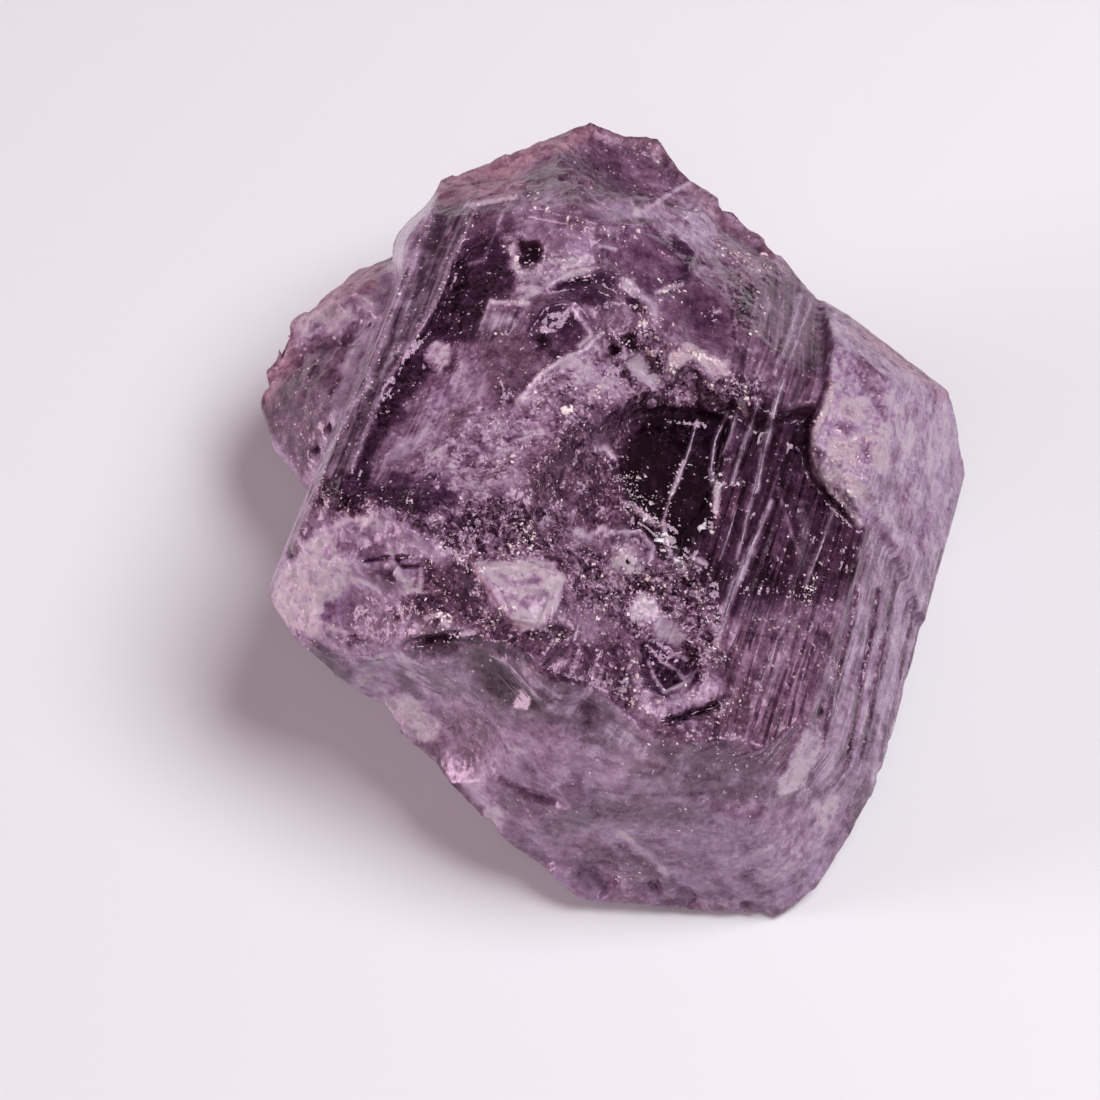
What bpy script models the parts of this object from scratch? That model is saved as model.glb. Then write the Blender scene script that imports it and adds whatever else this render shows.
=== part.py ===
"""A stubby, broken scapolite crystal, lying on its side with its long axis level.

The whole stone is one solid. It starts as the eight-sided prism that the mineral grows as,
rolled a little about its long axis (+Y). Planes break off its ends and corners, a second
crystal and a shoulder are joined to it, and ledges, growth lines and shell-shaped scoops
are cut from it. Lengths below are in millimetres and angles in degrees; Blender's own
unit is the metre.
"""

import math
import random

import bmesh
import bpy
from mathutils import Matrix, Vector

MM = 0.001

# The prism: where its axis runs, how far it is rolled about +Y, and how far each of its
# eight side faces stands from the axis. Faces are counted anticlockwise as seen from the
# near end, starting at the steep face on the right.
AXIS_X = 0.5
AXIS_Z = 5.0
ROLL = 23.8
FACE_DISTANCES = (13.18, 11.15, 15.6, 16.7, 11.95, 20.0, 20.0, 15.17)
BLANK = 60.0
RIGHT_SIDE = 0
RIGHT_ROOF = 1
LEFT_ROOF = 2
LEFT_SIDE = 3
UNDER_LEFT = 4
UNDER_RIGHT = 7

# The widest line round each broken end, clockwise seen from above. Each entry is a corner,
# then the tilts of the faces above and below the edge that starts there.
FAR_RIM = (
    ((-14.4, 15.9, 13.5), 58, -25),
    ((-7.6, 22.2, 13.8), 62, -30),
    ((-4.0, 22.9, 12.5), 55, -30),
    ((4.2, 19.0, 10.2), 50, -35),
    ((10.1, 16.0, 8.2), 48, -35),
    ((14.0, 12.5, 7.0), 40, -30),
    ((16.0, 8.5, 6.0), 0, 0),
)
NEAR_RIM = (
    ((15.8, -8.1, 2.7), 20, -25),
    ((15.0, -10.4, 2.0), 16, -30),
    ((14.4, -12.5, 1.2), 12, -40),
    ((12.7, -14.5, 0.3), 7, -60),
    ((2.8, -16.9, 1.2), 10, -45),
    ((-0.5, -16.4, 4.0), 13, -35),
    ((-13.4, -11.8, 9.5), 25, -30),
    ((-15.0, -10.2, 10.0), 20, -20),
    ((-15.3, -8.7, 10.5), 0, 0),
)

# The shoulder: a plate of the same crystal that stands proud of the right side and reaches
# further back. Its left wall and its near end are planes.
SHOULDER_RISE = 0.45
SHOULDER_RIM = (
    ((4.2, 19.0, 9.6), 46, -25),
    ((8.0, 17.6, 9.0), 46, -25),
    ((12.2, 16.1, 8.0), 40, -10),
    ((14.6, 15.0, 7.0), 34, -5),
    ((16.6, 13.0, 5.5), 20, -10),
    ((17.5, 10.0, 4.5), 0, 0),
)
SHOULDER_LEFT = 4.3
SHOULDER_NEAR_END = (14.0, 3.2, 8.0)
SHOULDER_BOTTOM = 0.4

# The second crystal, grown on behind the left side: its widest line, and the levels of its
# flat top and bottom. It starts inside the prism.
LOBE_RIM = (
    ((-14.0, -2.5, 7.0), 25, -30),
    ((-18.9, 1.4, 7.0), 35, -30),
    ((-20.5, 4.0, 7.0), 42, -25),
    ((-20.8, 6.0, 7.3), 45, -25),
    ((-20.4, 8.8, 8.2), 48, -30),
    ((-19.2, 10.9, 8.8), 50, -30),
    ((-17.6, 12.6, 9.3), 52, -25),
    ((-15.4, 13.7, 9.5), 50, -25),
    ((-12.0, 14.0, 9.5), 0, 0),
)
LOBE_TOP = 11.5
LOBE_BOTTOM = 0.3
LOBE_INNER = -9.0

# Ledges on the side faces: how deep each floor lies below the face, how it slopes down
# towards the near end, and its outline as (across, along) points on the face.
LEDGES = (
    ("sunken_field", RIGHT_ROOF, 1.38, 0.0, (
        (-5.6, 0.4), (-4.2, 3.0), (-1.7, 4.7), (0.7, 5.3), (2.2, 4.9), (3.5, 6.4), (4.4, 7.0),
        (4.5, 5.2), (6.1, 3.2), (7.6, 2.6), (12.0, 2.4), (12.0, -22.0), (-3.0, -22.0),
        (-3.6, -11.0), (-5.2, -6.0),
    )),
    ("dark_recess", RIGHT_ROOF, 2.05, 0.0, (
        (-5.2, 0.2), (-3.9, 2.7), (-1.6, 4.3), (0.6, 4.9), (1.0, 1.0), (0.2, -4.0),
        (-2.0, -6.6), (-4.4, -5.0),
    )),
    ("dark_strip", LEFT_ROOF, 0.6, 0.0, (
        (-5.5, 9.4), (-2.6, 11.6), (0.6, 10.6), (0.8, -1.0), (-3.0, -7.0), (-6.5, -6.6),
        (-6.5, 0.0), (-5.6, 5.0),
    )),
    ("left_bench", LEFT_ROOF, 1.1, 3.0, (
        (-8.6, -7.8), (-5.8, -8.8), (-4.2, -8.3), (0.0, -10.2), (2.6, -11.6), (2.6, -20.0),
        (-11.0, -20.0),
    )),
)
LEDGE_HEADROOM = 6.0

# Shell-shaped scoops: the middle of each on the surface, its outward direction, then its
# half length, half width and depth, and how far its length is turned from level.
SCOOPS = (
    ("far_cap", (-5.0, 18.8, 14.6), (0.31, 0.63, 0.72), 5.2, 3.6, 1.3, 10),
    ("far_cap_left", (-10.6, 16.6, 15.2), (-0.38, 0.45, 0.81), 4.0, 2.4, 0.7, 20),
    ("far_chip", (-1.0, 10.9, 17.4), (0.36, 0.15, 0.92), 3.8, 2.8, 0.9, 30),
    ("violet_pocket", (-4.5, 3.9, 18.9), (0.36, 0.0, 0.93), 1.9, 1.3, 0.9, 60),
    ("upper_arcs", (-4.8, 7.6, 19.1), (0.1, 0.0, 1.0), 4.4, 2.2, 0.7, 15),
    ("top_scoop", (-5.6, -2.8, 19.4), (0.0, 0.0, 1.0), 6.4, 5.0, 1.7, 20),
    ("top_scoop_left", (-9.3, -0.6, 17.1), (-0.4, 0.0, 0.91), 3.0, 4.6, 0.7, 0),
    ("top_scoop_near", (-3.0, -8.4, 18.6), (0.15, -0.2, 1.0), 5.0, 3.4, 1.3, 30),
    ("right_pocket", (2.4, 9.0, 16.2), (0.36, 0.0, 0.93), 2.6, 1.7, 1.0, 70),
    ("fan", (-1.2, -3.4, 17.3), (0.75, -0.1, 0.65), 4.2, 2.6, 1.0, 80),
    ("hollow", (5.2, -9.3, 13.7), (0.3, -0.2, 0.93), 2.6, 2.0, 1.5, 120),
    ("slot", (7.4, -11.6, 12.8), (0.36, 0.0, 0.93), 1.3, 0.5, 0.6, 10),
    ("front_top", (-4.0, -12.4, 17.5), (-0.15, -0.6, 0.78), 6.0, 3.4, 1.9, -10),
    ("front_wave_left", (-2.4, -13.7, 14.6), (-0.25, -0.85, 0.45), 4.6, 2.6, 1.0, 15),
    ("front_wave", (4.6, -14.6, 13.4), (0.15, -0.75, 0.65), 7.2, 3.2, 1.3, -14),
    ("front_wave_right", (10.4, -13.2, 10.4), (0.35, -0.85, 0.4), 4.4, 2.8, 0.8, -25),
    ("front_low", (3.0, -16.4, 5.4), (0.1, -1.0, 0.1), 6.5, 3.6, 0.6, 10),
    ("front_low_left", (-5.5, -13.3, 9.5), (-0.3, -0.93, 0.1), 4.6, 3.2, 0.8, 30),
    ("near_left", (-10.2, -11.6, 14.0), (-0.25, -0.75, 0.6), 4.2, 2.6, 0.9, 20),
    ("far_step", (2.4, 18.0, 12.0), (0.3, 0.7, 0.6), 3.4, 1.8, 0.7, 0),
    ("far_under", (-5.0, 17.2, 5.4), (-0.2, 0.9, -0.4), 7.0, 3.4, 1.2, 5),
    ("far_under_right", (7.0, 14.4, 3.2), (0.35, 0.85, -0.4), 4.8, 2.6, 0.9, -10),
    ("lobe_back", (-18.8, 9.6, 4.5), (-0.8, 0.5, -0.3), 3.8, 3.0, 0.8, 20),
    ("lobe_top", (-17.6, 5.0, 11.2), (-0.3, 0.0, 0.95), 3.4, 4.0, 0.7, 0),
    ("under_left", (-11.0, -3.0, 2.6), (-0.92, 0.0, -0.4), 5.5, 2.4, 1.0, 90),
    ("under_near", (-6.0, -10.0, 2.6), (-0.6, -0.7, -0.4), 5.5, 2.8, 1.2, 0),
)
SCOOP_SHARE = 3.0
LARGE_SCOOP = 4.5

# Growth lines: V grooves along a side face, each by its place across the face, the two
# ends, the width, the depth, and the level of the surface that it is cut in.
GROOVES = (
    (RIGHT_ROOF, -1.25, -4.6, 3.4, 0.35, 0.22, -1.38),
    (RIGHT_ROOF, 0.30, -3.0, 4.6, 0.30, 0.20, -1.38),
    (RIGHT_ROOF, 1.35, -0.8, 5.0, 0.40, 0.30, -1.38),
    (RIGHT_ROOF, 2.40, 0.9, 5.2, 0.50, 0.32, -1.38),
    (RIGHT_ROOF, 3.10, -8.0, 0.8, 0.50, 0.30, -1.38),
    (RIGHT_ROOF, 3.95, -2.4, 5.8, 0.35, 0.22, -1.38),
    (RIGHT_ROOF, 4.60, -6.4, 3.0, 0.40, 0.28, -1.38),
    (RIGHT_ROOF, 5.45, -12.0, -1.0, 0.45, 0.24, -1.38),
    (RIGHT_ROOF, 6.50, -5.0, 1.0, 0.50, 0.34, -1.38),
    (RIGHT_ROOF, 7.40, -12.0, 0.0, 0.40, 0.25, -1.38),
    (RIGHT_ROOF, 8.30, -9.0, 0.6, 0.50, 0.30, -1.38),
    (RIGHT_ROOF, 1.70, 7.9, 13.0, 0.30, 0.20, 0.0),
    (RIGHT_ROOF, 2.40, 6.8, 13.0, 0.30, 0.20, 0.0),
    (RIGHT_ROOF, 3.60, 8.4, 12.0, 0.40, 0.15, 0.0),
    (RIGHT_SIDE, -0.60, -9.0, 1.4, 0.60, 0.24, 0.0),
    (RIGHT_SIDE, 0.50, -13.6, 2.6, 0.80, 0.34, 0.0),
    (RIGHT_SIDE, 1.55, -7.6, 2.9, 0.50, 0.20, 0.0),
    (RIGHT_SIDE, 2.50, -14.0, -2.4, 0.90, 0.36, 0.0),
    (RIGHT_SIDE, 3.30, -6.0, 2.4, 0.55, 0.24, 0.0),
    (RIGHT_SIDE, 4.40, -12.4, 0.4, 0.85, 0.34, 0.0),
    (RIGHT_SIDE, 5.30, -9.4, 2.4, 0.45, 0.18, 0.0),
    (RIGHT_SIDE, 6.30, -11.0, -3.0, 0.60, 0.25, 0.0),
    (RIGHT_SIDE, 1.60, 4.4, 13.0, 0.50, 0.18, 0.45),
    (RIGHT_SIDE, 3.10, 6.8, 14.0, 0.40, 0.16, 0.45),
    (RIGHT_SIDE, 4.60, 4.0, 11.0, 0.60, 0.22, 0.45),
    (LEFT_ROOF, -7.20, -6.6, 11.4, 0.25, 0.18, 0.0),
    (LEFT_ROOF, -6.75, -5.0, 6.8, 0.30, 0.22, 0.0),
    (LEFT_ROOF, -4.90, -4.0, 8.8, 0.35, 0.20, -0.6),
    (LEFT_ROOF, -3.60, 2.0, 10.6, 0.30, 0.18, -0.6),
    (LEFT_SIDE, -2.20, -8.0, 14.0, 0.60, 0.18, 0.0),
    (LEFT_SIDE, -0.60, -7.0, 12.0, 0.50, 0.20, 0.0),
    (UNDER_LEFT, -4.00, -7.0, 2.0, 0.80, 0.30, 0.0),
    (UNDER_LEFT, -2.20, -8.0, 1.0, 0.60, 0.25, 0.0),
    (UNDER_RIGHT, -1.30, -10.0, 11.0, 0.50, 0.20, 0.0),
    (UNDER_RIGHT, 0.30, -9.0, 12.0, 0.60, 0.25, 0.0),
)
GROOVE_RAMP = 1.2
GROOVE_HEADROOM = 0.3

# Angular chips knocked out of the sharp edges: the two ends of each run, how many chips
# are spread along it, and how deep the deepest is.
CHIPPED_EDGES = (
    ((-13.3, 13.0, 16.1), (-13.3, -6.6, 16.1), 9, 0.25),
    ((12.3, 1.0, 10.9), (12.3, -11.4, 10.9), 7, 0.25),
    ((15.9, 2.0, 2.7), (15.8, -8.0, 2.7), 4, 0.35),
    ((-13.4, -11.8, 9.5), (-0.5, -16.4, 4.0), 10, 0.80),
    ((-0.5, -16.4, 4.0), (12.7, -14.5, 0.4), 7, 0.45),
    ((-14.2, 16.0, 13.6), (-7.6, 22.2, 13.8), 5, 0.50),
    ((-7.6, 22.2, 13.8), (-4.0, 22.9, 12.5), 2, 0.25),
    ((-4.0, 22.9, 12.5), (4.2, 19.0, 10.2), 6, 0.50),
    ((5.0, 18.8, 9.6), (12.2, 16.1, 8.0), 5, 0.45),
    ((-20.6, 4.0, 7.0), (-17.6, 12.6, 9.3), 6, 0.35),
    ((-2.0, 4.6, 16.9), (5.6, 3.0, 14.0), 8, 0.40),
    ((5.8, 5.2, 15.4), (11.0, 2.8, 12.6), 6, 0.35),
    ((-6.4, -11.6, 18.2), (8.0, -13.6, 13.0), 9, 0.60),
)

# Broken fields, where blocks have split off: the middle, the outward direction, the half
# length and half width, how many blocks, their size, depth, and the most that they tilt.
# The last is on the underside, which keeps wide flat patches to lie on.
BROKEN_FIELDS = (
    ((-5.2, -2.6, 18.4), (0.0, 0.0, 1.0), 5.6, 5.0, 16, 2.6, 0.6, 20),
    ((-4.0, 5.5, 18.6), (0.0, 0.0, 1.0), 4.0, 3.6, 8, 2.4, 0.5, 18),
    ((-10.6, -9.4, 15.4), (-0.35, -0.5, 0.8), 3.6, 3.0, 9, 2.4, 0.6, 24),
    ((-1.6, -10.6, 17.2), (0.1, -0.3, 0.95), 5.0, 2.6, 10, 2.4, 0.7, 22),
    ((-5.4, 16.0, 15.9), (0.1, 0.6, 0.8), 5.0, 2.6, 8, 3.0, 0.5, 14),
    ((-18.3, 5.8, 9.6), (-0.6, 0.1, 0.8), 4.0, 2.0, 9, 2.2, 0.7, 18),
    ((2.8, -6.6, 14.4), (0.4, -0.1, 0.9), 2.0, 3.0, 7, 1.8, 0.5, 24),
    ((2.0, -15.6, 8.0), (0.0, -1.0, 0.2), 9.0, 5.0, 10, 4.4, 0.4, 10),
    ((-5.0, 17.6, 5.0), (-0.2, 0.9, -0.4), 7.0, 3.0, 9, 3.6, 0.8, 18),
    ((8.5, 14.6, 3.6), (0.3, 0.9, -0.3), 4.5, 2.0, 7, 2.8, 0.6, 16),
    ((-11.0, -2.0, 3.0), (-0.9, 0.0, -0.4), 8.0, 2.6, 8, 3.4, 0.6, 18),
    ((15.0, 4.0, 0.6), (0.9, 0.0, -0.4), 5.0, 0.6, 4, 2.2, 0.4, 12),
    ((1.0, 1.0, 0.0), (0.0, 0.0, -1.0), 12.0, 12.0, 12, 4.6, 0.45, 9),
)
BREAK_SEED = 12
BLOCK_SHAPE = (1.0, 0.7, 0.5)

STONE_COLOUR = (0.17, 0.09, 0.16, 1.0)
STONE_ROUGHNESS = 0.22


def clear_scene():
    for old in list(bpy.data.objects):
        bpy.data.objects.remove(old)


def new_collection(name):
    collection = bpy.data.collections.new(name)
    bpy.context.scene.collection.children.link(collection)
    return collection


def finished(mesh, name, collection):
    """Turns a mesh in millimetres into an object of the scene."""
    bmesh.ops.recalc_face_normals(mesh, faces=mesh.faces)
    bmesh.ops.scale(mesh, vec=(MM, MM, MM), verts=mesh.verts)
    data = bpy.data.meshes.new(name)
    mesh.to_mesh(data)
    mesh.free()
    thing = bpy.data.objects.new(name, data)
    collection.objects.link(thing)
    return thing


def break_off(mesh, at, outward):
    """Removes what lies beyond the plane through a point, and closes the cut."""
    everything = mesh.verts[:] + mesh.edges[:] + mesh.faces[:]
    cut = bmesh.ops.bisect_plane(
        mesh, geom=everything, plane_co=at, plane_no=outward, clear_outer=True
    )
    rim = [e for e in cut["geom_cut"] if isinstance(e, bmesh.types.BMEdge)]
    if rim:
        bmesh.ops.edgenet_fill(mesh, edges=rim)


def face_frame(number):
    """The outward and the across direction of a side face; its third direction is +Y."""
    angle = math.radians(ROLL + 45 * number)
    outward = Vector((math.cos(angle), 0, math.sin(angle)))
    across = Vector((math.sin(angle), 0, -math.cos(angle)))
    return outward, across


def on_face(number, across, along, height=0.0):
    """A point over a side face, by its place across and along it and its height above it."""
    outward, sideways = face_frame(number)
    out = FACE_DISTANCES[number] + height
    return Vector((AXIS_X, along, AXIS_Z)) + out * outward + across * sideways


def break_end(mesh, rim):
    """Cuts two faces along each edge of a rim: one leans in above it and one below it."""
    for (corner, above, below), (following, _, _) in zip(rim, rim[1:]):
        along = (Vector(following) - Vector(corner)).normalized()
        up = along.cross(Vector((-along.y, along.x, 0))).normalized()
        out = up.cross(along)
        for tilt in (above, below):
            lean = math.radians(tilt)
            break_off(mesh, Vector(corner), math.cos(lean) * out + math.sin(lean) * up)


def prism(rises, bottom):
    """The eight-sided prism, with some faces raised, cut flat underneath."""
    mesh = bmesh.new()
    bmesh.ops.create_cube(mesh, size=BLANK)
    for number in range(len(FACE_DISTANCES)):
        outward, _ = face_frame(number)
        break_off(mesh, on_face(number, 0, 0, rises.get(number, 0.0)), outward)
    break_off(mesh, Vector((0, 0, bottom)), Vector((0, 0, -1)))
    return mesh


def shoulder(collection):
    inset = -0.1
    rises = {RIGHT_SIDE: SHOULDER_RISE, RIGHT_ROOF: 0.25, UNDER_RIGHT: inset}
    mesh = prism(rises, SHOULDER_BOTTOM)
    break_end(mesh, SHOULDER_RIM)
    break_off(mesh, Vector(SHOULDER_NEAR_END), Vector((0.1, -1, 0.15)).normalized())
    break_off(mesh, on_face(RIGHT_ROOF, SHOULDER_LEFT, 0), -face_frame(RIGHT_ROOF)[1])
    finished(mesh, "shoulder", collection)


def lobe(collection):
    mesh = bmesh.new()
    bmesh.ops.create_cube(mesh, size=BLANK)
    break_end(mesh, LOBE_RIM)
    break_off(mesh, Vector((0, 0, LOBE_TOP)), Vector((0, 0, 1)))
    break_off(mesh, Vector((0, 0, LOBE_BOTTOM)), Vector((0, 0, -1)))
    break_off(mesh, Vector((LOBE_INNER, 0, 0)), Vector((1, 0, 0)))
    finished(mesh, "grown_on_lobe", collection)


def ledge(name, collection, face, depth, slope, outline):
    """A straight-sided block that stands over a side face and reaches down to a floor."""
    drop = math.tan(math.radians(slope))
    highest = max(along for _, along in outline)
    mesh = bmesh.new()
    lower = []
    upper = []
    for across, along in outline:
        floor = -depth - drop * (highest - along)
        lower.append(mesh.verts.new(on_face(face, across, along, floor)))
        upper.append(mesh.verts.new(on_face(face, across, along, LEDGE_HEADROOM)))
    mesh.faces.new(lower)
    mesh.faces.new(upper)
    bmesh.ops.bridge_loops(mesh, edges=mesh.edges[:])
    finished(mesh, name, collection)


def surface_frame(outward):
    """A turn that takes +Z to the outward direction and keeps +X level."""
    out = outward.normalized()
    side = Vector((0, 1, 0)).cross(out) if abs(out.y) < 0.7 else Vector((0, 0, 1)).cross(out)
    side.normalize()
    return Matrix((side, out.cross(side), out)).transposed()


def scoop(name, collection, middle, outward, half_length, half_width, depth, turn):
    """A flattened ball, sunk so far into the surface that it takes a bite of that size."""
    sink = 1 / SCOOP_SHARE
    reach = math.sqrt(1 - (1 - sink) ** 2)
    size = Vector((half_length / reach, half_width / reach, depth / sink))
    out = Vector(outward).normalized()
    frame = surface_frame(out) @ Matrix.Rotation(math.radians(turn), 3, "Z")
    mesh = bmesh.new()
    fineness = 3 if half_length > LARGE_SCOOP else 2
    bmesh.ops.create_icosphere(mesh, subdivisions=fineness, radius=1.0)
    bmesh.ops.scale(mesh, vec=size, verts=mesh.verts)
    bmesh.ops.rotate(mesh, cent=(0, 0, 0), matrix=frame, verts=mesh.verts)
    lift = (size.z - depth) * out
    bmesh.ops.translate(mesh, vec=Vector(middle) + lift, verts=mesh.verts)
    finished(mesh, name, collection)


def groove(name, collection, face, across, start, end, width, depth, level):
    """A V groove whose keel rises to the surface at both ends."""
    top = level + GROOVE_HEADROOM
    flare = width / 2 * (1 + GROOVE_HEADROOM / depth)
    mesh = bmesh.new()
    for along in (start, end):
        for side in (-flare, flare):
            mesh.verts.new(on_face(face, across + side, along, top))
    for along in (start + GROOVE_RAMP, end - GROOVE_RAMP):
        mesh.verts.new(on_face(face, across, along, level - depth))
    bmesh.ops.convex_hull(mesh, input=mesh.verts[:])
    finished(mesh, name, collection)


def block(name, collection, place, outward, size, depth, tilt, dice):
    """A box over the surface, tilted at random, whose lowest corner bites in to a depth."""
    spin = Matrix.Rotation(dice.uniform(0, math.tau), 3, "Z")
    lean = Matrix.Rotation(math.radians(dice.uniform(0.3, 1.0) * tilt), 3, "X")
    turn = Matrix.Rotation(dice.uniform(0, math.tau), 3, "Z")
    frame = surface_frame(outward) @ spin @ lean @ turn
    half = size * Vector(BLOCK_SHAPE)
    out = outward.normalized()
    reach = sum(abs(axis.dot(out)) * length for axis, length in zip(frame.col, half))
    mesh = bmesh.new()
    bmesh.ops.create_cube(mesh, size=2.0)
    bmesh.ops.scale(mesh, vec=half, verts=mesh.verts)
    bmesh.ops.rotate(mesh, cent=(0, 0, 0), matrix=frame, verts=mesh.verts)
    bmesh.ops.translate(mesh, vec=place + (reach - depth) * out, verts=mesh.verts)
    finished(mesh, name, collection)


def chip_edges(collection, dice):
    """Small blocks along the edges, with sizes and places that vary."""
    middle = Vector((0, 0, AXIS_Z))
    for run, (start, end, count, deepest) in enumerate(CHIPPED_EDGES):
        for number in range(count):
            place = Vector(start).lerp(Vector(end), (number + dice.uniform(0.1, 0.9)) / count)
            depth = deepest * dice.uniform(0.4, 1.0)
            size = depth * dice.uniform(2.0, 4.0)
            block(f"chip_{run}_{number}", collection, place, place - middle, size, depth, 60, dice)


def break_fields(collection, dice):
    """Larger, flatter blocks scattered over the broken parts of the surface."""
    for field, (middle, outward, length, width, count, size, depth, tilt) in enumerate(
        BROKEN_FIELDS
    ):
        frame = surface_frame(Vector(outward))
        for number in range(count):
            offset = Vector((dice.uniform(-1, 1) * length, dice.uniform(-1, 1) * width, 0))
            place = Vector(middle) + frame @ offset
            block(
                f"block_{field}_{number}", collection, place, Vector(outward),
                size * dice.uniform(0.5, 1.0), depth * dice.uniform(0.4, 1.0), tilt, dice,
            )


def stone_material():
    material = bpy.data.materials.new("purple_scapolite")
    material.use_nodes = True
    shader = material.node_tree.nodes["Principled BSDF"]
    shader.inputs["Base Color"].default_value = STONE_COLOUR
    shader.inputs["Roughness"].default_value = STONE_ROUGHNESS
    shader.inputs["Metallic"].default_value = 0.0
    return material


def crystal(collection, lumps, breaks):
    mesh = prism({}, 0.0)
    break_end(mesh, FAR_RIM)
    break_end(mesh, NEAR_RIM)
    stone = finished(mesh, "scapolite_crystal", collection)
    stone.data.materials.append(stone_material())
    for name, others, operation in (("Lumps", lumps, "UNION"), ("Breaks", breaks, "DIFFERENCE")):
        joint = stone.modifiers.new(name, "BOOLEAN")
        joint.operand_type = "COLLECTION"
        joint.collection = others
        joint.operation = operation
        joint.solver = "EXACT"
    return stone


def main():
    clear_scene()
    collection = new_collection("scapolite")
    lumps = new_collection("lumps")
    breaks = new_collection("breaks")
    lobe(lumps)
    shoulder(lumps)
    for name, face, depth, slope, outline in LEDGES:
        ledge(name, breaks, face, depth, slope, outline)
    for name, middle, outward, half_length, half_width, depth, turn in SCOOPS:
        scoop(name, breaks, middle, outward, half_length, half_width, depth, turn)
    for number, line in enumerate(GROOVES):
        groove(f"groove_{number}", breaks, *line)
    dice = random.Random(BREAK_SEED)
    chip_edges(breaks, dice)
    break_fields(breaks, dice)
    crystal(collection, lumps, breaks)
    for cutter in list(lumps.objects) + list(breaks.objects):
        cutter.hide_render = True
        cutter.display_type = "WIRE"


main()
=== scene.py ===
# %% [markdown]
# # A broken scapolite crystal
#
# The object is one lump of purple scapolite, about four centimetres long, lying on its side.
# It grew as an eight-sided prism, so its long sides are straight and finely lined, and its
# ends and top are broken into shells, steps and splinters. The stone is as clear as dark
# glass where it is whole, and milky where it is full of small cracks.
#
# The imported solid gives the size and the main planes. This lesson gives it the fine surface
# and the finish: a dense skin is laid over the solid, carved with numpy, and coloured by a
# few masks that are painted on its points. All lengths are in millimetres until the mesh is
# made, because they are easier to read than thousandths of a metre.

# %% Load the frame
import itertools
import math

import bmesh
import bpy
import numpy as np
from mathutils import Matrix, Vector
from mathutils.bvhtree import BVHTree


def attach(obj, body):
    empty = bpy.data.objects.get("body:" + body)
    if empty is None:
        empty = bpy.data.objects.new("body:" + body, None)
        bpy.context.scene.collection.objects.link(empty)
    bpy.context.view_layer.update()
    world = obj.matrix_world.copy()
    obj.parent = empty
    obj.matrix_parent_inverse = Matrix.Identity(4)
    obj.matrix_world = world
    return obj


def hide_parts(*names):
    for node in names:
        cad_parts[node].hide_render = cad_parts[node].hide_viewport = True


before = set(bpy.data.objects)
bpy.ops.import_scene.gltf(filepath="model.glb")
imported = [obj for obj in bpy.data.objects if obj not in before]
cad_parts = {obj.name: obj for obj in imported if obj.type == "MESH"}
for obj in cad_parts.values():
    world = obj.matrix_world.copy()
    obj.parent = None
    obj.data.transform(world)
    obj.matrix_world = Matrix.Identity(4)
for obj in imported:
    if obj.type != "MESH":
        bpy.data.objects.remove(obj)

MM = 0.001
scene = bpy.context.scene
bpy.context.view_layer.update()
solid = bpy.data.objects["scapolite_crystal"]

# %% [markdown]
# ## The view
#
# The stone is seen from above, at 55 degrees over the floor, by a long lens, so its parallel
# edges hardly run together. The same eye also serves as a drawing aid: a sheet of
# 1100 by 1100 units stands before the stone like a window, 20 units to the millimetre, and
# a mark drawn on the sheet is carried to the first point of the stone behind it.

# %% Camera
SHEET = 1100.0
SHEET_UNITS_PER_MM = 20.0
EYE_HEIGHT_ANGLE = math.radians(55.0)
EYE_TURN = math.radians(16.2)
SHEET_DISTANCE = 3255.0
LOOK_AT = np.array((-2.57, -2.78, 10.0))
SENSOR_MM = 36.0
CLIP_METRES = (0.005, 10.0)

forward = np.array((
    -math.sin(EYE_TURN) * math.cos(EYE_HEIGHT_ANGLE),
    math.cos(EYE_TURN) * math.cos(EYE_HEIGHT_ANGLE),
    -math.sin(EYE_HEIGHT_ANGLE),
))
rightward = np.array((math.cos(EYE_TURN), math.sin(EYE_TURN), 0.0))
upward = np.cross(rightward, forward)
eye = LOOK_AT - forward * SHEET_DISTANCE / SHEET_UNITS_PER_MM

camera_data = bpy.data.cameras.new("camera")
camera_data.sensor_width = SENSOR_MM
camera_data.lens = SHEET_DISTANCE / SHEET * SENSOR_MM
camera_data.clip_start, camera_data.clip_end = CLIP_METRES
camera = bpy.data.objects.new("camera", camera_data)
axes = Matrix((rightward, upward, -forward)).transposed().to_4x4()
camera.matrix_world = Matrix.Translation(Vector(eye * MM)) @ axes
scene.collection.objects.link(camera)
scene.camera = camera
print("eye in mm:", eye.round(1), "lens:", round(camera_data.lens, 1))

# %% [markdown]
# ## Light and floor
#
# A stone like this is shown on white paper, under one large soft lamp that stands high on
# the right, so the shadow falls to the left and stays soft. A weak lamp in front and a card
# on the left fill the shadow. The top faces must mirror something dark, or clear stone looks
# grey. So no lamp stands behind the stone on the far side, and the room itself gives only a
# weak even light.

# %% Floor
FLOOR_SIZE = 3.0
FLOOR_COLOUR = (0.845, 0.88, 0.89, 1.0)
FLOOR_ROUGHNESS = 0.7
FLOOR_SHEEN = 0.2

floor_mesh = bmesh.new()
bmesh.ops.create_grid(floor_mesh, x_segments=1, y_segments=1, size=FLOOR_SIZE / 2)
floor_data = bpy.data.meshes.new("paper_floor")
floor_mesh.to_mesh(floor_data)
floor_mesh.free()
floor = bpy.data.objects.new("paper_floor", floor_data)
scene.collection.objects.link(floor)
paper = bpy.data.materials.new("white_paper")
paper.use_nodes = True
paper_shader = paper.node_tree.nodes["Principled BSDF"]
paper_shader.inputs["Base Color"].default_value = FLOOR_COLOUR
paper_shader.inputs["Roughness"].default_value = FLOOR_ROUGHNESS
paper_shader.inputs["Specular IOR Level"].default_value = FLOOR_SHEEN
floor_data.materials.append(paper)
print("floor side in metres:", FLOOR_SIZE)

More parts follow.
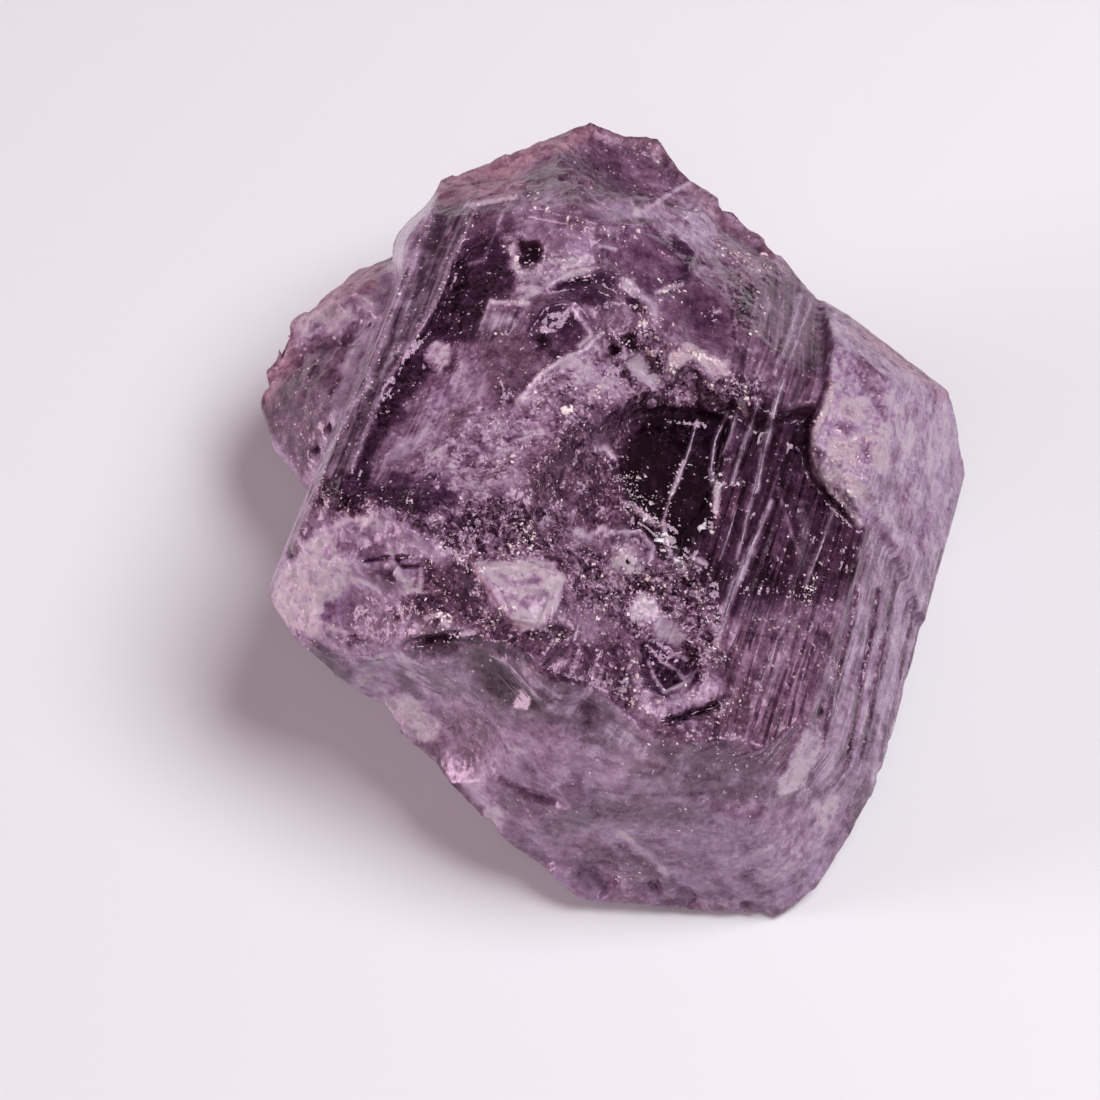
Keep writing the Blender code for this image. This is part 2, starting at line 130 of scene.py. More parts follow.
# %% Lamps
# Each lamp: the direction it stands in, its distance in metres, its size, power and colour.
# The lamps that fill the shadow are reddish, because so is the light that has been through
# the stone.
WHITE_LIGHT = (1.0, 0.965, 1.0)
WARM_LIGHT = (1.0, 0.87, 0.91)
LAMPS = (
    ("key", (0.455, 0.095, 0.885), 0.35, 0.22, 1.12, WHITE_LIGHT),
    ("front_fill", (0.05, -0.60, 0.80), 0.60, 0.36, 0.29, WARM_LIGHT),
    ("left_card", (-0.90, -0.42, 0.17), 0.50, 0.24, 1.75, WARM_LIGHT),
)
ROOM_COLOUR = (1.0, 0.58, 0.68, 1.0)
ROOM_STRENGTH = 0.15

for name, direction, distance, size, power, colour in LAMPS:
    lamp_data = bpy.data.lights.new(name, "AREA")
    lamp_data.shape = "DISK"
    lamp_data.size = size
    lamp_data.energy = power
    lamp_data.color = colour
    lamp = bpy.data.objects.new(name, lamp_data)
    outward = Vector(direction).normalized()
    lamp.location = Vector(LOOK_AT * MM) + outward * distance
    lamp.rotation_mode = "QUATERNION"
    lamp.rotation_quaternion = outward.to_track_quat("Z", "Y")
    scene.collection.objects.link(lamp)

room = bpy.data.worlds.new("room")
room.use_nodes = True
room.node_tree.nodes["Background"].inputs["Color"].default_value = ROOM_COLOUR
room.node_tree.nodes["Background"].inputs["Strength"].default_value = ROOM_STRENGTH
scene.world = room
scene.view_settings.view_transform = "Standard"
scene.view_settings.look = "None"
print("lamps:", [row[0] for row in LAMPS])

# %% [markdown]
# ## A dense skin
#
# The solid has large flat facets. They could be cut finer one by one, but the small breaks
# of the real stone are everywhere, so the whole copy of the solid is rebuilt from small cubes
# of equal size (a voxel remesh), which gives points everywhere and keeps the shape closed.
# A few rounds of averaging then take off the stair steps that the cubes leave.

# %% Skin from the solid
VOXEL = 0.145

skin_data = solid.data.copy()
skin_data.name = "scapolite_skin"
skin = bpy.data.objects.new("scapolite_skin", skin_data)
scene.collection.objects.link(skin)


def apply_modifier(thing, name):
    """Turns what a modifier makes into the mesh itself."""
    bpy.context.view_layer.objects.active = thing
    with bpy.context.temp_override(object=thing, active_object=thing):
        bpy.ops.object.modifier_apply(modifier=name)


remesh = skin.modifiers.new("Remesh", "REMESH")
remesh.mode = "VOXEL"
remesh.voxel_size = VOXEL * MM
apply_modifier(skin, "Remesh")
print("skin points:", len(skin.data.vertices))


# %% Reading and writing points
SMOOTHING_ROUNDS = 3


def read_rows(items, what, kind, width):
    """One value of every point or edge, as the rows of a numpy array."""
    flat = np.empty(len(items) * width, dtype=kind)
    items.foreach_get(what, flat)
    return flat.reshape(-1, width)


def read_points(mesh):
    return read_rows(mesh.vertices, "co", np.float32, 3).astype(np.float64) / MM


def read_normals(mesh):
    return read_rows(mesh.vertices, "normal", np.float32, 3).astype(np.float64)


def read_edges(mesh):
    return read_rows(mesh.edges, "vertices", np.int32, 2)


def write_points(mesh, points):
    mesh.vertices.foreach_set("co", (points * MM).astype(np.float32).ravel())
    mesh.update()


def averaged(values, edges, rounds, share=0.5):
    """Moves each value some way towards the mean of its neighbours', several times."""
    columns = values.reshape(len(values), -1).copy()
    count = np.bincount(edges.ravel(), minlength=len(columns))[:, None]
    for _ in range(rounds):
        total = np.empty_like(columns)
        for number in range(columns.shape[1]):
            one = columns[:, number]
            total[:, number] = np.bincount(
                edges[:, 0], weights=one[edges[:, 1]], minlength=len(one)
            ) + np.bincount(edges[:, 1], weights=one[edges[:, 0]], minlength=len(one))
        columns += share * (total / np.maximum(count, 1) - columns)
    return columns.reshape(values.shape)


stepped = read_points(skin.data)
points = averaged(stepped, read_edges(skin.data), SMOOTHING_ROUNDS)
write_points(skin.data, points)
print("smoothing moved a point by up to mm:", np.abs(points - stepped).max().round(3))

# %% [markdown]
# ## Random fields
#
# Broken stone looks random at every scale, yet the script has to give the same stone each
# time. So each random number comes from a fixed table, looked up by the cell of space that
# a point is in. `cloud` is smooth noise. `cells` scatters one seed per cell and says how
# far the nearest is: squared distance makes shells with sharp rims, and a random tilt per
# seed makes splinters.

# %% Noise
TABLE_SIZE = 8192
CELL_KEYS = np.array((73856093, 19349663, 83492791))
LAYER_STRENGTH = 0.55


def cell_keys(cell):
    return (cell * CELL_KEYS).astype(np.int64).sum(axis=1) % TABLE_SIZE


def cloud(places, size, seed, layers=1):
    """Smooth random values, about -1 to 1, that change over `size` millimetres."""
    total = np.zeros(len(places))
    for layer in range(layers):
        table = np.random.default_rng(seed + layer).uniform(-1, 1, TABLE_SIZE)
        scaled = places * 2.0 ** layer / size
        low = np.floor(scaled).astype(np.int64)
        part = scaled - low
        part = part * part * (3 - 2 * part)
        value = np.zeros(len(places))
        for corner in itertools.product((0, 1), repeat=3):
            weight = np.prod(np.where(corner, part, 1 - part), axis=1)
            value += weight * table[cell_keys(low + corner)]
        total += value * LAYER_STRENGTH ** layer
    return total


def cloud_shift(places, size, seeds, layers=1):
    """A random shift for each place: one cloud per direction."""
    return np.stack([cloud(places, size, seed, layers) for seed in seeds], axis=1)


def cells(places, size, seed):
    """Distance to the nearest seed, and the height of a tilted splinter round it."""
    table = np.random.default_rng(seed).uniform(0, 1, (TABLE_SIZE, 6))
    scaled = places / np.asarray(size, dtype=float)
    low = np.floor(scaled).astype(np.int64)
    nearest = np.full(len(places), 9.0)
    splinter = np.zeros(len(places))
    for step in itertools.product((-1, 0, 1), repeat=3):
        cell = low + step
        row = table[cell_keys(cell)]
        away = scaled - cell - row[:, :3]
        distance = np.sqrt((away ** 2).sum(axis=1))
        nearer = distance < nearest
        nearest = np.where(nearer, distance, nearest)
        tilt = (away * (2 * row[:, 3:] - 1)).sum(axis=1) + row[:, 3] - 0.5
        splinter = np.where(nearer, tilt, splinter)
    return nearest, splinter


print("cloud at three places:", cloud(np.eye(3), 2.0, 1).round(3))

# %% [markdown]
# ## Drawing on the stone
#
# Each mark is a line or an outline on the drawing sheet. A ray towards the eye tells which
# points of the skin the sheet can see, so that a mark never lands on the far side. Edges
# are soft, in sheet units.

# %% The drawing sheet
RAY_START_MM = 0.2
SIGHT_BLEND_ROUNDS = 4


def onto_sheet(places):
    """The place on the sheet, right and down, that each point of space lies behind."""
    away = places - eye
    depth = away @ forward
    half = SHEET / 2
    across = half + SHEET_DISTANCE * (away @ rightward) / depth
    down = half - SHEET_DISTANCE * (away @ upward) / depth
    return np.stack((across, down), axis=1)


def sees(thing, places, normals, edges):
    """1 where the eye sees a point, 0 where it doesn't, blended over a few neighbours."""
    tree = BVHTree.FromObject(thing, bpy.context.evaluated_depsgraph_get())
    seen = np.zeros(len(places))
    starts = (places + RAY_START_MM * normals) * MM
    rays = eye * MM - starts
    for number in np.flatnonzero((rays * normals).sum(axis=1) > 0):
        if tree.ray_cast(Vector(starts[number]), Vector(rays[number]))[0] is None:
            seen[number] = 1.0
    return averaged(seen, edges, SIGHT_BLEND_ROUNDS), tree


edges = read_edges(skin.data)
seen, _ = sees(skin, points, read_normals(skin.data), edges)
print("points that the sheet sees:", int((seen > 0.5).sum()), "of", len(seen))


# %% Soft lines and areas
def smooth_step(value):
    value = np.clip(value, 0, 1)
    return value * value * (3 - 2 * value)


def line_distance(drawn, line):
    """Distance on the sheet from each point to a drawn line."""
    corners = np.asarray(line, dtype=float)
    nearest = np.full(len(drawn), 1e9)
    for start, end in zip(corners, corners[1:]):
        run = end - start
        share = np.clip((drawn - start) @ run / max(run @ run, 1e-9), 0, 1)
        gap = drawn - start - share[:, None] * run
        nearest = np.minimum(nearest, np.hypot(gap[:, 0], gap[:, 1]))
    return nearest


def inside(drawn, outline):
    corners = np.asarray(outline, dtype=float)
    within = np.zeros(len(drawn), dtype=bool)
    for (x0, y0), (x1, y1) in zip(corners, np.roll(corners, -1, axis=0)):
        if y0 == y1:
            continue
        crosses = (y0 > drawn[:, 1]) != (y1 > drawn[:, 1])
        at = x0 + (drawn[:, 1] - y0) * (x1 - x0) / (y1 - y0)
        within ^= crosses & (drawn[:, 0] < at)
    return within


def near_marks(drawn, corners, reach):
    """Numbers of the points in the box round a drawn mark, so the rest costs no time."""
    corners = np.asarray(corners, dtype=float)
    low, high = corners.min(axis=0) - reach, corners.max(axis=0) + reach
    return np.flatnonzero(((drawn > low) & (drawn < high)).all(axis=1))


def line_mask(drawn, line, width):
    mask = np.zeros(len(drawn))
    near = near_marks(drawn, line, width)
    mask[near] = smooth_step(1 - line_distance(drawn[near], line) / width)
    return mask


def area_mask(drawn, outline, soft):
    mask = np.zeros(len(drawn))
    near = near_marks(drawn, outline, soft)
    closed = list(outline) + [outline[0]]
    gap = line_distance(drawn[near], closed)
    signed = np.where(inside(drawn[near], outline), gap, -gap)
    mask[near] = smooth_step(0.5 + signed / (2 * soft))
    return mask


print("2 units beside a line 8 units wide:", line_mask(np.array([[5, 2]]), [(0, 0), (9, 0)], 8))

# %% Tables of drawn marks
def drawn_rows(table):
    """The rows of a table of marks: a name, some numbers, then the corners as right,down.

    A line that has only corners goes on with the row above it.
    """
    rows = []
    for line in table.splitlines():
        words = line.partition("#")[0].split()
        corners = [tuple(map(float, word.split(","))) for word in words if "," in word]
        values = [word if word[0].isalpha() else float(word)
                  for word in words if "," not in word]
        if values:
            rows.append((*values, corners))
        elif corners:
            rows[-1][-1].extend(corners)
    return rows


print("a row of a table:", drawn_rows("mauve 8 0.8 440,180 600,125"))

# %% [markdown]
# ## Faces of the prism
#
# The growth lines run along the long sides only. The prism has eight sides, 45 degrees
# apart, rolled a little about the long axis. A point belongs to the side that its normal
# points along. The lines could be drawn one by one, but there are hundreds, so a one-way
# noise gives them: it changes quickly across a side and hardly at all along it.

# %% Prism sides
AXIS = np.array((0.5, 0.0, 5.0))
ROLL = 23.8
SIDES = 8
SIDE_OFFSET_MM = 40
SQUARE_FROM, SQUARE_OVER = 0.93, 0.05
LINE_STRETCH = 40


def prism_side(places, normals):
    """How squarely each point lies on a side, and its place across that side."""
    best = np.full(len(places), -1.0)
    across = np.zeros(len(places))
    for number in range(SIDES):
        angle = math.radians(ROLL + 360 / SIDES * number)
        facing = normals @ np.array((math.cos(angle), 0, math.sin(angle)))
        place = (places - AXIS) @ np.array((math.sin(angle), 0, -math.cos(angle)))
        across = np.where(facing > best, place + SIDE_OFFSET_MM * number, across)
        best = np.maximum(best, facing)
    return smooth_step((best - SQUARE_FROM) / SQUARE_OVER), across


def growth_lines(across, along, size, seed):
    flat_places = (across / size, along / (size * LINE_STRETCH), np.zeros(len(across)))
    return cloud(np.stack(flat_places, axis=1), 1.0, seed)


squareness, _ = prism_side(points, read_normals(skin.data))
print("share of the points on a side:", (squareness > 0.5).mean().round(2))

# %% [markdown]
# ## The finishes
#
# A finish is a row of numbers from 0 to 1; a few go a little past, so that the patches
# painted later hardly change them. `pale` runs from clear dark stone to milky lilac, `warm`
# turns violet to plum, `grey` takes colour out, `brown` adds the rusty skin of the rim,
# `rough` dulls it, `hackle` is how splintered the surface is, `shell` how much it is scooped,
# `lines` how strongly the growth lines show, and `dust` how many specks lie on it. Each area
# could have numbers of its own, but one table of named finishes keeps the whole stone in one
# family of colours.
# Some finishes paint light as well as colour: the white one paints highlights on crests and rims,
# and the pale grey, pale lavender, lavender column, satin and slate ones paint sheen.

# %% Finish table
CHANNELS = ("pale", "warm", "grey", "brown", "rough", "hackle", "shell", "lines", "dust")
# pale grey that paints the sheen of faces and growth lines
# pale lavender stone, in many places also a painted sheen
# the columns of the right side, their paleness partly a painted sheen
# this row and the next paint the grey sheen that the near end mirrors
# white stone, and also the painted highlights on crests, rims and edges
FINISHES = {name: values for name, *values, _ in drawn_rows("""
#                 pale  warm  grey brown rough hackl shell lines  dust
mauve             0.48  0.45  0.20  0.05  0.26  0.28  0.20  0.20  0.30
black_glass      -0.08  0.60  0.00  0.00  0.03  0.10  0.10  0.20  0.15
dark_glass        0.10  0.45  0.00  0.00  0.05  0.35  0.20  0.20  0.20
dark_streaked     0.16  0.75  0.05  0.00  0.10  0.15  0.10  1.00  0.20
plum_satin        0.43  0.80  0.10  0.00  0.24  0.12  0.10  1.00  0.40
plum_glass        0.46  0.50  0.05  0.00  0.15  0.10  0.10  0.00  0.10
smooth_plum       0.38  0.70  0.08  0.00  0.36  0.08  0.05  1.00  0.20
dark_plum         0.27  0.90  0.05  0.00  0.22  0.50  0.30  0.20  0.50
grey_purple       0.37  0.40  0.45  0.00  0.22  0.15  0.10  0.90  0.30
pale_grey         0.76  0.45  0.45  0.00  0.30  0.10  0.10  0.80  0.10
violet_glass      0.46  0.15  0.00  0.00  0.08  0.10  0.30  0.00  0.20
lilac             0.78  0.20  0.05  0.00  0.36  0.35  0.20  0.50  0.30
pale_lavender     0.78  0.25  0.30  0.00  0.25  0.05  0.00  0.30  0.10
lavender_columns  0.63  0.35  0.40  0.00  0.25  0.05  0.00  1.00  0.10
pink_lilac        1.00  0.60  0.10  0.00  0.40  0.45  0.30  0.00  0.20
pink_cream        1.15  0.45  0.05  0.05  0.42  0.60  0.20  0.00  0.40
rough_lilac       0.66  0.50  0.10  0.05  0.35  0.60  0.50  0.00  0.50
dark_rough        0.37  0.75  0.10  0.00  0.20  0.90  0.50  0.00  0.35
brown_rim         0.72  0.60  0.20  0.80  0.40  0.30  0.10  0.00  0.30
grey_satin        0.52  0.30  0.60  0.00  0.20  0.05  0.10  0.00  0.20
slate             0.34  0.20  0.85  0.00  0.16  0.00  0.00  0.00  0.10
violet_slate      0.44  0.15  0.55  0.00  0.25  0.10  0.10  0.00  0.10
purple_milk       0.66  0.35  0.15  0.00  0.32  0.15  0.10  0.10  0.25
dark_mauve        0.38  0.50  0.20  0.10  0.24  0.15  0.12  0.00  0.30
deep_violet       0.20  0.20  0.00  0.00  0.08  0.20  0.30  0.00  0.20
white_crust       1.12  0.55  0.40  0.10  0.50  0.90  0.20  0.00  0.60
cream             1.15  0.70  0.35  0.20  0.55  0.50  0.00  0.00  0.50
bright            1.20  0.35  0.30  0.00  0.30  0.30  0.00  0.20  0.10
""")}
print("finishes:", len(FINISHES))

# %% [markdown]
# ## Painted areas
#
# On the real stone each broken face has its own clearness and colour. They could be told
# apart by the way they face, but neighbours often face the same way. So their outlines are
# drawn on the sheet, as a painter masks off one field after another, each over the last.
# A row holds the finish, the softness of the edge, the strength and the outline.
# Some areas paint light rather than colour: the grey sheen of the near end, the sheen of the
# flanks, the plate and the columns, and a small pink glint.

# %% Areas of the far end and the right side
# the columns of the right side, pale with a painted sheen
# the right part of the plate is pale with a painted sheen
AREAS = drawn_rows("""
# the far cap
mauve 8 0.8 440,180 600,125 700,190 810,285 600,420 400,600
brown_rim 9 0.9 432,178 470,168 500,150 540,134 592,118 650,135 672,158 655,165 640,148 600,140
    560,152 528,168 520,188 500,196 460,204 436,217
dark_mauve 10 0.9 525,170 560,155 600,135 650,145 668,168 655,195 600,200 550,195 525,185
dark_mauve 8 0.7 440,208 470,205 500,200 512,215 510,245 455,250 432,232
purple_milk 10 0.9 512,200 560,200 640,200 660,205 650,222 600,232 590,255 560,252 520,238
lilac 9 0.8 640,214 700,198 716,230 702,268 690,250 665,228
violet_glass 6 1.0 600,238 622,226 660,228 680,245 692,262 680,282 655,292 640,296 625,280 608,262
deep_violet 5 0.9 672,232 690,250 694,266 684,284 674,284 682,262 668,242
brown_rim 8 0.5 672,160 695,178 730,214 788,266 770,275 735,262 715,225 690,195
dark_mauve 6 0.9 720,224 745,232 785,268 780,276 758,264 725,245
mauve 7 0.9 700,262 722,250 760,265 812,280 790,290 740,300 716,282
# the plum pocket and the brow
plum_glass 7 1.0 655,300 690,285 715,282 735,310 742,346 715,352 690,342 662,325
deep_violet 9 0.6 688,296 712,296 722,320 705,332 686,318
dark_rough 6 0.9 732,288 748,284 756,305 748,330 736,328 730,305
dark_rough 8 0.9 600,362 618,332 650,330 690,372 740,372 782,388 770,408 720,412 640,404 604,404
bright 5 0.8 626,362 640,358 652,372 664,386 650,388 632,374
cream 3 1.0 668,376 671,354 684,347 702,350 726,360 728,372 712,372 702,364 692,364 684,366
    678,376
dark_rough 3 0.9 690,362 698,360 700,374 692,376
bright 3 1.0 620,278 630,279 640,290 645,303 636,300 625,290
bright 6 0.5 645,300 658,302 660,322 648,324
dark_glass 3 0.9 626,300 638,302 642,314 632,316
bright 3 1.0 622,358 632,350 642,354 652,370 660,388 650,387 636,376
black_glass 3 0.9 627,334 638,334 640,350 632,354
black_glass 3 0.9 609,338 618,338 622,348 614,350
black_glass 4 0.8 738,286 750,288 756,300 748,306 740,298
# the plate above the right side
smooth_plum 7 1.0 762,286 790,280 815,292 830,330 832,372 822,412 812,422 798,404 782,388 772,350
    760,315
lilac 7 1.0 828,306 852,326 884,338 912,362 950,392 968,421 973,463 964,510 945,560 915,570
    885,530 858,525 830,488 811,450 814,430 830,385 826,340
pale_lavender 14 0.55 915,372 950,392 968,421 973,463 964,510 945,560 928,560 925,470
cream 5 0.7 838,402 850,398 862,408 858,422 842,420
cream 6 0.7 824,440 838,434 856,442 862,458 846,468 830,462
cream 6 0.6 868,436 884,440 888,462 876,474 868,458
cream 5 0.6 832,472 850,476 866,492 872,510 856,506 838,490
mauve 6 0.6 846,360 872,356 890,376 884,396 862,388
mauve 6 0.5 884,478 905,470 915,500 905,530 888,516
bright 6 0.5 872,500 888,506 898,540 884,540
dark_mauve 4 0.7 878,552 892,548 896,566 884,572
brown_rim 6 0.5 850,322 884,334 912,358 958,396 950,402 905,372 880,352 852,336
lavender_columns 6 1.0 857,556 870,530 905,560 930,545 948,560 928,612 924,631 908,682 888,757
    868,812 838,800 812,780 811,715
""")
print("areas:", len(AREAS))

# %% Areas of the left side
# a small painted pink glint
# the grown-on lobe and the left flank, whose pale lavender is partly a painted reflection
AREAS += drawn_rows("""
# the grown-on lobe and the left flank
dark_mauve 10 0.75 268,385 280,340 322,290 387,260 382,300 345,360 318,430 304,488 274,445 258,404
brown_rim 7 0.8 260,400 268,360 290,313 325,286 390,254 385,280 345,300 305,325 288,365 276,405
pink_cream 8 0.8 300,318 340,296 372,292 365,325 325,335 292,355
dark_mauve 9 0.8 300,342 330,333 362,340 350,372 325,368 300,362
pale_lavender 6 0.9 256,405 275,440 306,484 300,500 268,452 252,420
pale_lavender 4 1.0 436,184 433,214 415,250 392,316 366,382 345,425 330,452 310,508 294,508
    318,440 345,360 372,300 388,258 410,214
grey_purple 8 0.6 425,232 432,218 415,262 392,318 366,384 345,428 330,452 318,470 340,410 372,340
    398,280
grey_purple 4 1.0 434,212 440,205 474,208 455,261 433,309 383,389 352,467 330,500 311,506 330,450
    365,384 391,318
# the dark glass beside the second ridge
dark_glass 6 1.0 452,264 470,238 505,240 518,262 512,288 490,300 476,332 466,346 447,346 425,378
    395,422 362,480 350,480 356,463 384,390 434,310
deep_violet 8 0.7 462,236 507,232 508,262 485,270 460,262
grey_purple 5 0.8 490,312 515,310 522,326 505,342 485,347 476,332
dark_mauve 8 0.9 488,345 515,330 535,340 545,362 530,385 505,398 485,400 480,370
white_crust 6 0.5 500,238 520,236 545,245 600,262 592,284 560,276 530,300 512,296 522,276 508,258
black_glass 4 1.0 517,246 540,243 542,262 526,270 516,260
deep_violet 6 0.9 588,264 604,266 620,285 600,292 588,280
deep_violet 6 0.9 548,286 590,280 612,292 600,304 560,300
pale_grey 5 0.7 484,322 496,314 514,316 514,322 500,330 488,334
deep_violet 7 0.75 532,318 550,306 574,305 590,320 590,340 570,355 555,364 540,352 530,336
pink_lilac 3 0.9 428,352 440,344 450,350 446,364 436,372 428,366
lilac 6 0.5 460,366 484,362 488,385 480,405 462,402
lilac 6 0.8 404,452 428,400 452,374 466,370 458,400 440,432 424,452
pale_lavender 5 0.9 390,460 400,438 425,428 420,444 402,460
""")
print("areas:", len(AREAS))

# %% Areas of the broken top
AREAS += drawn_rows("""
# the broken top
rough_lilac 9 1.0 400,470 440,436 480,415 520,400 545,375 600,335 618,345 610,380 640,395 600,404
    575,420 550,440 525,455 520,490 480,500 440,490
lilac 7 0.6 560,352 600,340 615,358 600,385 570,385
pale_lavender 4 0.9 582,382 592,377 603,382 600,389 590,390
black_glass 4 0.9 536,338 544,332 547,344 539,348
dark_plum 5 0.8 500,392 520,388 528,398 512,406 500,402
dark_plum 8 0.9 556,440 584,410 620,398 612,430 592,446 584,470 568,500 540,500 526,470
dark_rough 8 0.95 312,486 345,478 400,485 450,495 500,500 560,505 580,540 575,580 540,565 475,560
    440,543 400,526 345,516 314,508
dark_glass 6 0.9 330,482 356,470 390,484 440,505 420,514 380,502 340,498
deep_violet 7 0.6 384,468 430,474 470,500 440,505 400,495
# the dark recess, its round shell and the crust under it
dark_plum 8 0.9 606,446 612,418 636,402 680,406 720,408 742,412 722,470 712,520 690,560 668,570
    640,540 618,505
black_glass 9 1.0 622,470 626,440 640,418 660,410 690,412 742,414 724,470 712,520 690,556 672,562
    646,534 628,500
dark_plum 6 1.0 580,480 586,455 605,447 620,470 622,500 610,528 592,538 574,525 570,500
dark_streaked 10 1.0 735,405 770,400 812,424 815,470 860,525 860,560 845,600 800,598 760,600
    722,630 700,600 692,560 712,520 722,470
plum_satin 22 1.0 722,630 770,610 845,612 840,640 811,715 777,788 755,765 722,745 700,720 722,690
dark_rough 8 1.0 560,540 615,560 650,570 695,565 715,600 722,660 700,690 650,690 632,640 600,610
    565,600
white_crust 5 0.9 612,546 630,548 642,570 632,574 615,562
bright 4 0.8 626,604 642,596 660,604 652,622 632,620
pale_grey 5 0.9 654,608 676,618 692,640 680,648 660,636
dark_glass 5 0.9 640,640 660,640 700,662 700,690 680,700 652,690 640,668
dark_plum 6 0.9 600,630 630,640 640,700 620,715 600,690
lilac 6 0.7 652,704 690,686 720,676 728,688 700,706 662,722
black_glass 4 1.0 664,724 684,712 714,702 716,710 690,718 668,730
dark_plum 7 0.6 610,700 650,725 720,735 752,765 700,748 650,742 625,722
""")
print("areas:", len(AREAS))

# %% Areas of the near end
# the near end, its upper part with a painted grey sheen
AREAS += drawn_rows("""
# the near left lobe
lilac 7 1.0 300,504 325,522 372,512 400,520 430,536 450,556 425,600 400,640 434,661 438,738
    413,735 380,712 330,686 285,652 272,633 262,611 267,580
mauve 4 0.8 303,510 316,515 325,525 312,538 298,546 291,545 297,526
pink_cream 7 1.0 268,612 272,585 296,556 312,542 332,538 345,552 352,580 336,596 328,600 326,622
    318,634 292,632 276,628
mauve 6 0.7 345,528 372,524 398,530 402,545 380,555 352,556 340,545
purple_milk 4 0.8 362,566 392,562 402,580 398,592 378,588 364,580
mauve 3 0.9 366,572 388,566 396,578 400,590 384,590
violet_glass 4 1.0 327,604 345,602 350,612 340,626 328,622
mauve 7 0.8 345,592 385,594 402,606 398,630 372,632 345,626
dark_rough 5 0.9 402,560 430,562 438,580 425,600 408,615 392,622 388,606 402,596 418,582 418,566
dark_plum 7 0.9 412,578 430,568 470,560 500,604 500,620 450,626 418,622 408,600
dark_plum 3 0.9 284,557 292,544 299,546 294,560
rough_lilac 5 0.8 322,628 350,625 395,630 404,642 372,648 335,645
dark_rough 4 0.7 340,640 362,640 376,648 350,650
violet_slate 5 0.95 284,642 302,651 312,640 330,650 352,656 354,682 338,686 312,672 296,660
lilac 6 0.9 350,652 378,650 396,660 392,690 376,698 352,690
violet_slate 5 0.8 394,664 402,658 412,676 422,700 416,708 398,690
pink_lilac 4 0.9 396,652 404,652 418,676 414,682
pink_cream 5 0.9 374,698 396,694 412,704 426,716 440,728 434,740 412,737 394,722 380,712
# the bench and the shard on it
dark_plum 7 1.0 430,640 500,622 560,632 625,650 632,700 612,708 590,690 555,684 520,660 480,648
    430,660 410,650
plum_satin 8 0.6 500,632 560,640 610,650 600,685 560,672 520,650
pink_lilac 3 1.0 474,560 500,563 550,561 564,580 558,602 540,626 521,629 506,614 490,590
bright 4 0.6 522,606 558,600 542,626 521,629
black_glass 4 1.0 432,636 460,632 474,640 450,644 430,642
# the near end
purple_milk 8 1.0 420,664 460,654 504,655 560,688 590,691 620,715 655,742 720,750 760,768 800,795
    850,800 846,848 826,884 800,900 770,916 690,902 604,902 565,900 540,882 498,835 476,802
    450,765 436,738
grey_satin 9 1.0 424,664 460,653 504,654 560,686 592,690 620,715 655,741 720,750 760,768 790,796
    760,806 700,798 640,780 600,755 560,728 520,722 470,700 430,690
mauve 9 0.8 432,708 470,700 500,722 505,748 470,772 446,752 436,730
slate 5 1.0 466,651 486,650 500,660 520,682 546,706 534,713 518,713 500,702 478,682 466,664
pale_grey 6 0.7 520,664 545,690 578,692 598,704 580,718 552,714 536,692
pale_grey 8 0.8 600,716 622,718 655,744 650,756 624,748 604,732
dark_mauve 4 0.8 576,702 588,700 597,712 584,712
lilac 8 0.7 504,738 530,738 540,758 518,768 500,756
violet_slate 9 0.7 500,790 560,806 640,800 720,806 700,826 640,822 560,830 505,812
mauve 9 0.6 500,780 540,792 600,845 680,880 650,895 590,880 540,840
lilac 9 0.5 720,835 770,830 800,850 780,885 730,870
pale_lavender 3 1.0 450,756 462,767 476,778 483,792 482,803 475,800 466,788 454,782
pink_lilac 3 1.0 486,806 498,806 505,826 503,836 494,838 486,826
bright 3 0.9 775,792 785,769 798,744 808,724 819,735 815,761 800,786 788,799
black_glass 3 1.0 813,716 820,696 826,712
pink_lilac 4 0.9 812,804 836,794 841,800 820,833
""")
print("areas:", len(AREAS))
